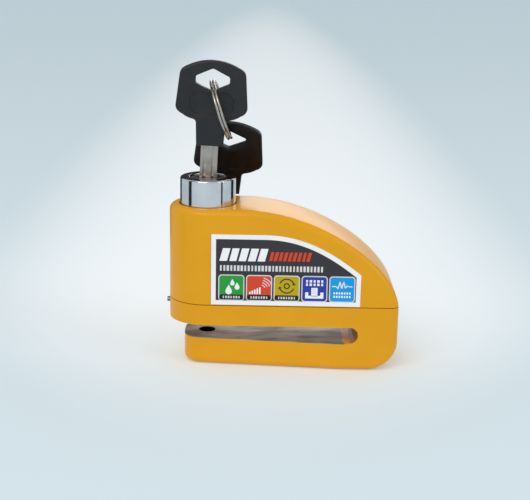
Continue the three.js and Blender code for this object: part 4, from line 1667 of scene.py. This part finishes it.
@dataclass
class Studio:
    """A pale sweep with a painted pool of light, soft lights and the camera."""

    aim: tuple[float, float, float] = (0.0225, 0.0, 0.0441)
    pitch: float = math.radians(15)
    roll: float = math.radians(1.05)
    distance: float = 0.460
    lens: float = 79.5
    floor_reach: float = 3.2
    # Painted light: the sweep glows with this strength of its own colour, though it is no lamp.
    painted_glow: float = 0.2
    flag_distance: float = 0.2
    flags: tuple[Point, ...] = ((-74, 0.055), (60, 0.026), (-155, 0.16), (120, 0.07))
    flag_height: float = 0.3
    flag_colour: Colour = (0.012, 0.012, 0.014)
    bend: float = 0.5
    sweep_front: float = -3.0
    sweep_half: float = 4.0
    sweep_top: float = 4.0
    sweep_gap: float = 0.0002
    # Painted pool of light on the sweep: palest colour round the spot behind the lock, dimmer colour away
    # from it.
    painted_pool_colour: Colour = (0.88, 0.91, 0.92)
    painted_falloff_colour: Colour = (0.62, 0.71, 0.75)
    palest: Point = (22.0, 160.0)
    fade_across: float = 0.0062
    fade_near: float = 285.0
    fade_far: Point = (350.0, 3000.0)
    sky: Colour = (0.90, 0.92, 0.94)
    ambient: float = 0.72
    lamps: tuple[Lamp, ...] = (
        Lamp("front_light", (-0.35, -0.8, 0.8), (0.7, 0.5), 3.5, (1.0, 0.98, 0.95)),
        Lamp("side_light", (0.9, -0.5, 0.5), (0.5, 0.6), 1.5, (0.95, 0.98, 1.0)),
        Lamp("back_light", (0.12, 0.95, 0.42), (1.3, 0.5), 3.9, (1.0, 0.95, 0.94), lights_floor=False),
    )

    def build_camera(self) -> None:
        """Looks down at the front face from a little to the right of the barrel."""
        data = bpy.data.cameras.new("camera")
        data.lens = self.lens
        data.clip_start = 0.01
        camera = bpy.data.objects.new("camera", data)
        bpy.context.scene.collection.objects.link(camera)
        away = Vector((0, -math.cos(self.pitch), math.sin(self.pitch))) * self.distance
        turn = Matrix.Rotation(math.pi / 2 - self.pitch, 4, "X") @ Matrix.Rotation(self.roll, 4, "Z")
        camera.matrix_world = Matrix.Translation(Vector(self.aim) + away) @ turn
        bpy.context.scene.camera = camera

    def build_sweep(self) -> None:
        """A floor that curves up into a backdrop far behind, with a painted pool of light palest behind the
        lock; the floor also glows faintly, which is painted light.
        """
        curve = arc((self.floor_reach, self.bend), self.bend, -90, 0, 16)
        profile = [(self.sweep_front, 0.0), *curve, (self.floor_reach + self.bend, self.sweep_top)]
        mesh = bmesh.new()
        sides = [
            [mesh.verts.new((x, y, z - self.sweep_gap)) for y, z in profile]
            for x in (-self.sweep_half, self.sweep_half)
        ]
        for i in range(len(profile) - 1):
            mesh.faces.new((sides[0][i], sides[1][i], sides[1][i + 1], sides[0][i + 1]))
        sweep = as_object("sweep", mesh)
        sweep.data.polygons.foreach_set("use_smooth", [True] * len(sweep.data.polygons))
        shader = Shader("sweep_painted_pool")
        x, y, _ = shader.axes()
        # Painted pool of light: the sweep is palest round a spot behind the lock and dims across, towards
        # the front and far back.
        across = (x - self.palest[0]) * self.fade_across
        near = (self.palest[1] - y).ramp(0, self.fade_near)
        distant = (y - self.fade_far[0]).ramp(0, self.fade_far[1])
        far = (across * across + near * near + distant).ramp(0.05, 1.0)
        paper = shader.mix(far, self.painted_pool_colour, self.painted_falloff_colour)
        # The sweep also glows with its own colour: painted light, though it is no lamp.
        shader.set(Base_Color=paper, Roughness=1.0, Emission_Color=paper)
        shader.surface.inputs["Emission Strength"].default_value = self.painted_glow
        shader.surface.inputs["Specular IOR Level"].default_value = 0.0
        dress(sweep, shader.material)
        sweep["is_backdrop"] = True

    def build_flags(self) -> None:
        """Low dark cards round the lock, seen only as dark lines down the chrome."""
        for index, (bearing, width) in enumerate(self.flags):
            angle = math.radians(bearing)
            out = Vector((math.sin(angle), -math.cos(angle), 0)) * self.flag_distance
            side = Vector((math.cos(angle), math.sin(angle), 0)) * width / 2
            rise = Vector((0, 0, self.flag_height))
            mesh = bmesh.new()
            corners = [out - side, out + side, out + side + rise, out - side + rise]
            mesh.faces.new([mesh.verts.new(corner) for corner in corners])
            card = as_object(f"flag_{index}", mesh)
            shader = Shader(f"flag_cloth_{index}")
            shader.set(Base_Color=self.flag_colour, Roughness=0.9)
            dress(card, shader.material)
            card.visible_camera = card.visible_diffuse = card.visible_shadow = False
            card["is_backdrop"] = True

    def spare_floor(self, lamp: bpy.types.Object) -> None:
        """Keeps a lamp's light off the sweep, so that the floor stays even.

        Args:
            lamp: The lamp.
        """
        group = bpy.data.collections.new(f"{lamp.name}_spares")
        group.objects.link(bpy.data.objects["sweep"])
        lamp.light_linking.receiver_collection = group
        group.collection_objects[0].light_linking.link_state = "EXCLUDE"

    def hang(self, lamp: Lamp) -> bpy.types.Object:
        """Hangs a lamp and turns it to the lock.

        Args:
            lamp: The lamp.

        Returns:
            Its object.
        """
        data = bpy.data.lights.new(lamp.name, "AREA")
        data.shape = "RECTANGLE"
        data.size, data.size_y = lamp.size
        data.energy = lamp.power
        data.color = lamp.tint
        light = bpy.data.objects.new(lamp.name, data)
        bpy.context.scene.collection.objects.link(light)
        aim = Vector(self.aim) - Vector(lamp.place)
        turn = aim.to_track_quat("-Z", "Y").to_matrix().to_4x4()
        light.matrix_world = Matrix.Translation(lamp.place) @ turn
        light.visible_camera = False
        return light

    def build(self) -> None:
        """Sets up the whole studio."""
        self.build_camera()
        self.build_sweep()
        self.build_flags()
        for lamp in self.lamps:
            light = self.hang(lamp)
            if not lamp.lights_floor:
                self.spare_floor(light)
        world = bpy.data.worlds.new("studio")
        world.use_nodes = True
        background = world.node_tree.nodes["Background"]
        background.inputs["Color"].default_value = (*self.sky, 1.0)
        background.inputs["Strength"].default_value = self.ambient
        bpy.context.scene.world = world
        bpy.context.scene.view_settings.view_transform = "Standard"


def build_lock(frame: dict[str, Any]) -> None:
    """Builds every sub-assembly in order.
    """
    joints = {joint["name"]: joint for joint in frame["record"]["behaviour"]["joints"]}
    Housing().build()
    FrontPlate().build()
    barrel = Barrel()
    barrel.build_sleeve()
    barrel.build_spring(joints["barrel_press"]["range_m"][1])
    KeySet(joints).build()
    finish_packed(frame["nodes"])


def main() -> None:
    """Loads the frame, builds the lock and its studio, and works out the sizes of the imported and finished
    pieces.
    """
    logging.basicConfig(level=logging.INFO, format="%(name)s: %(message)s")
    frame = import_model()
    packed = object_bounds()
    build_lock(frame)
    Studio().build()
    boxes = {"cad": packed, "visual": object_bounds()}
    plain = {key: [[float(v) for v in corner] for corner in box] for key, box in boxes.items()}


if __name__ == "__main__":
    main()
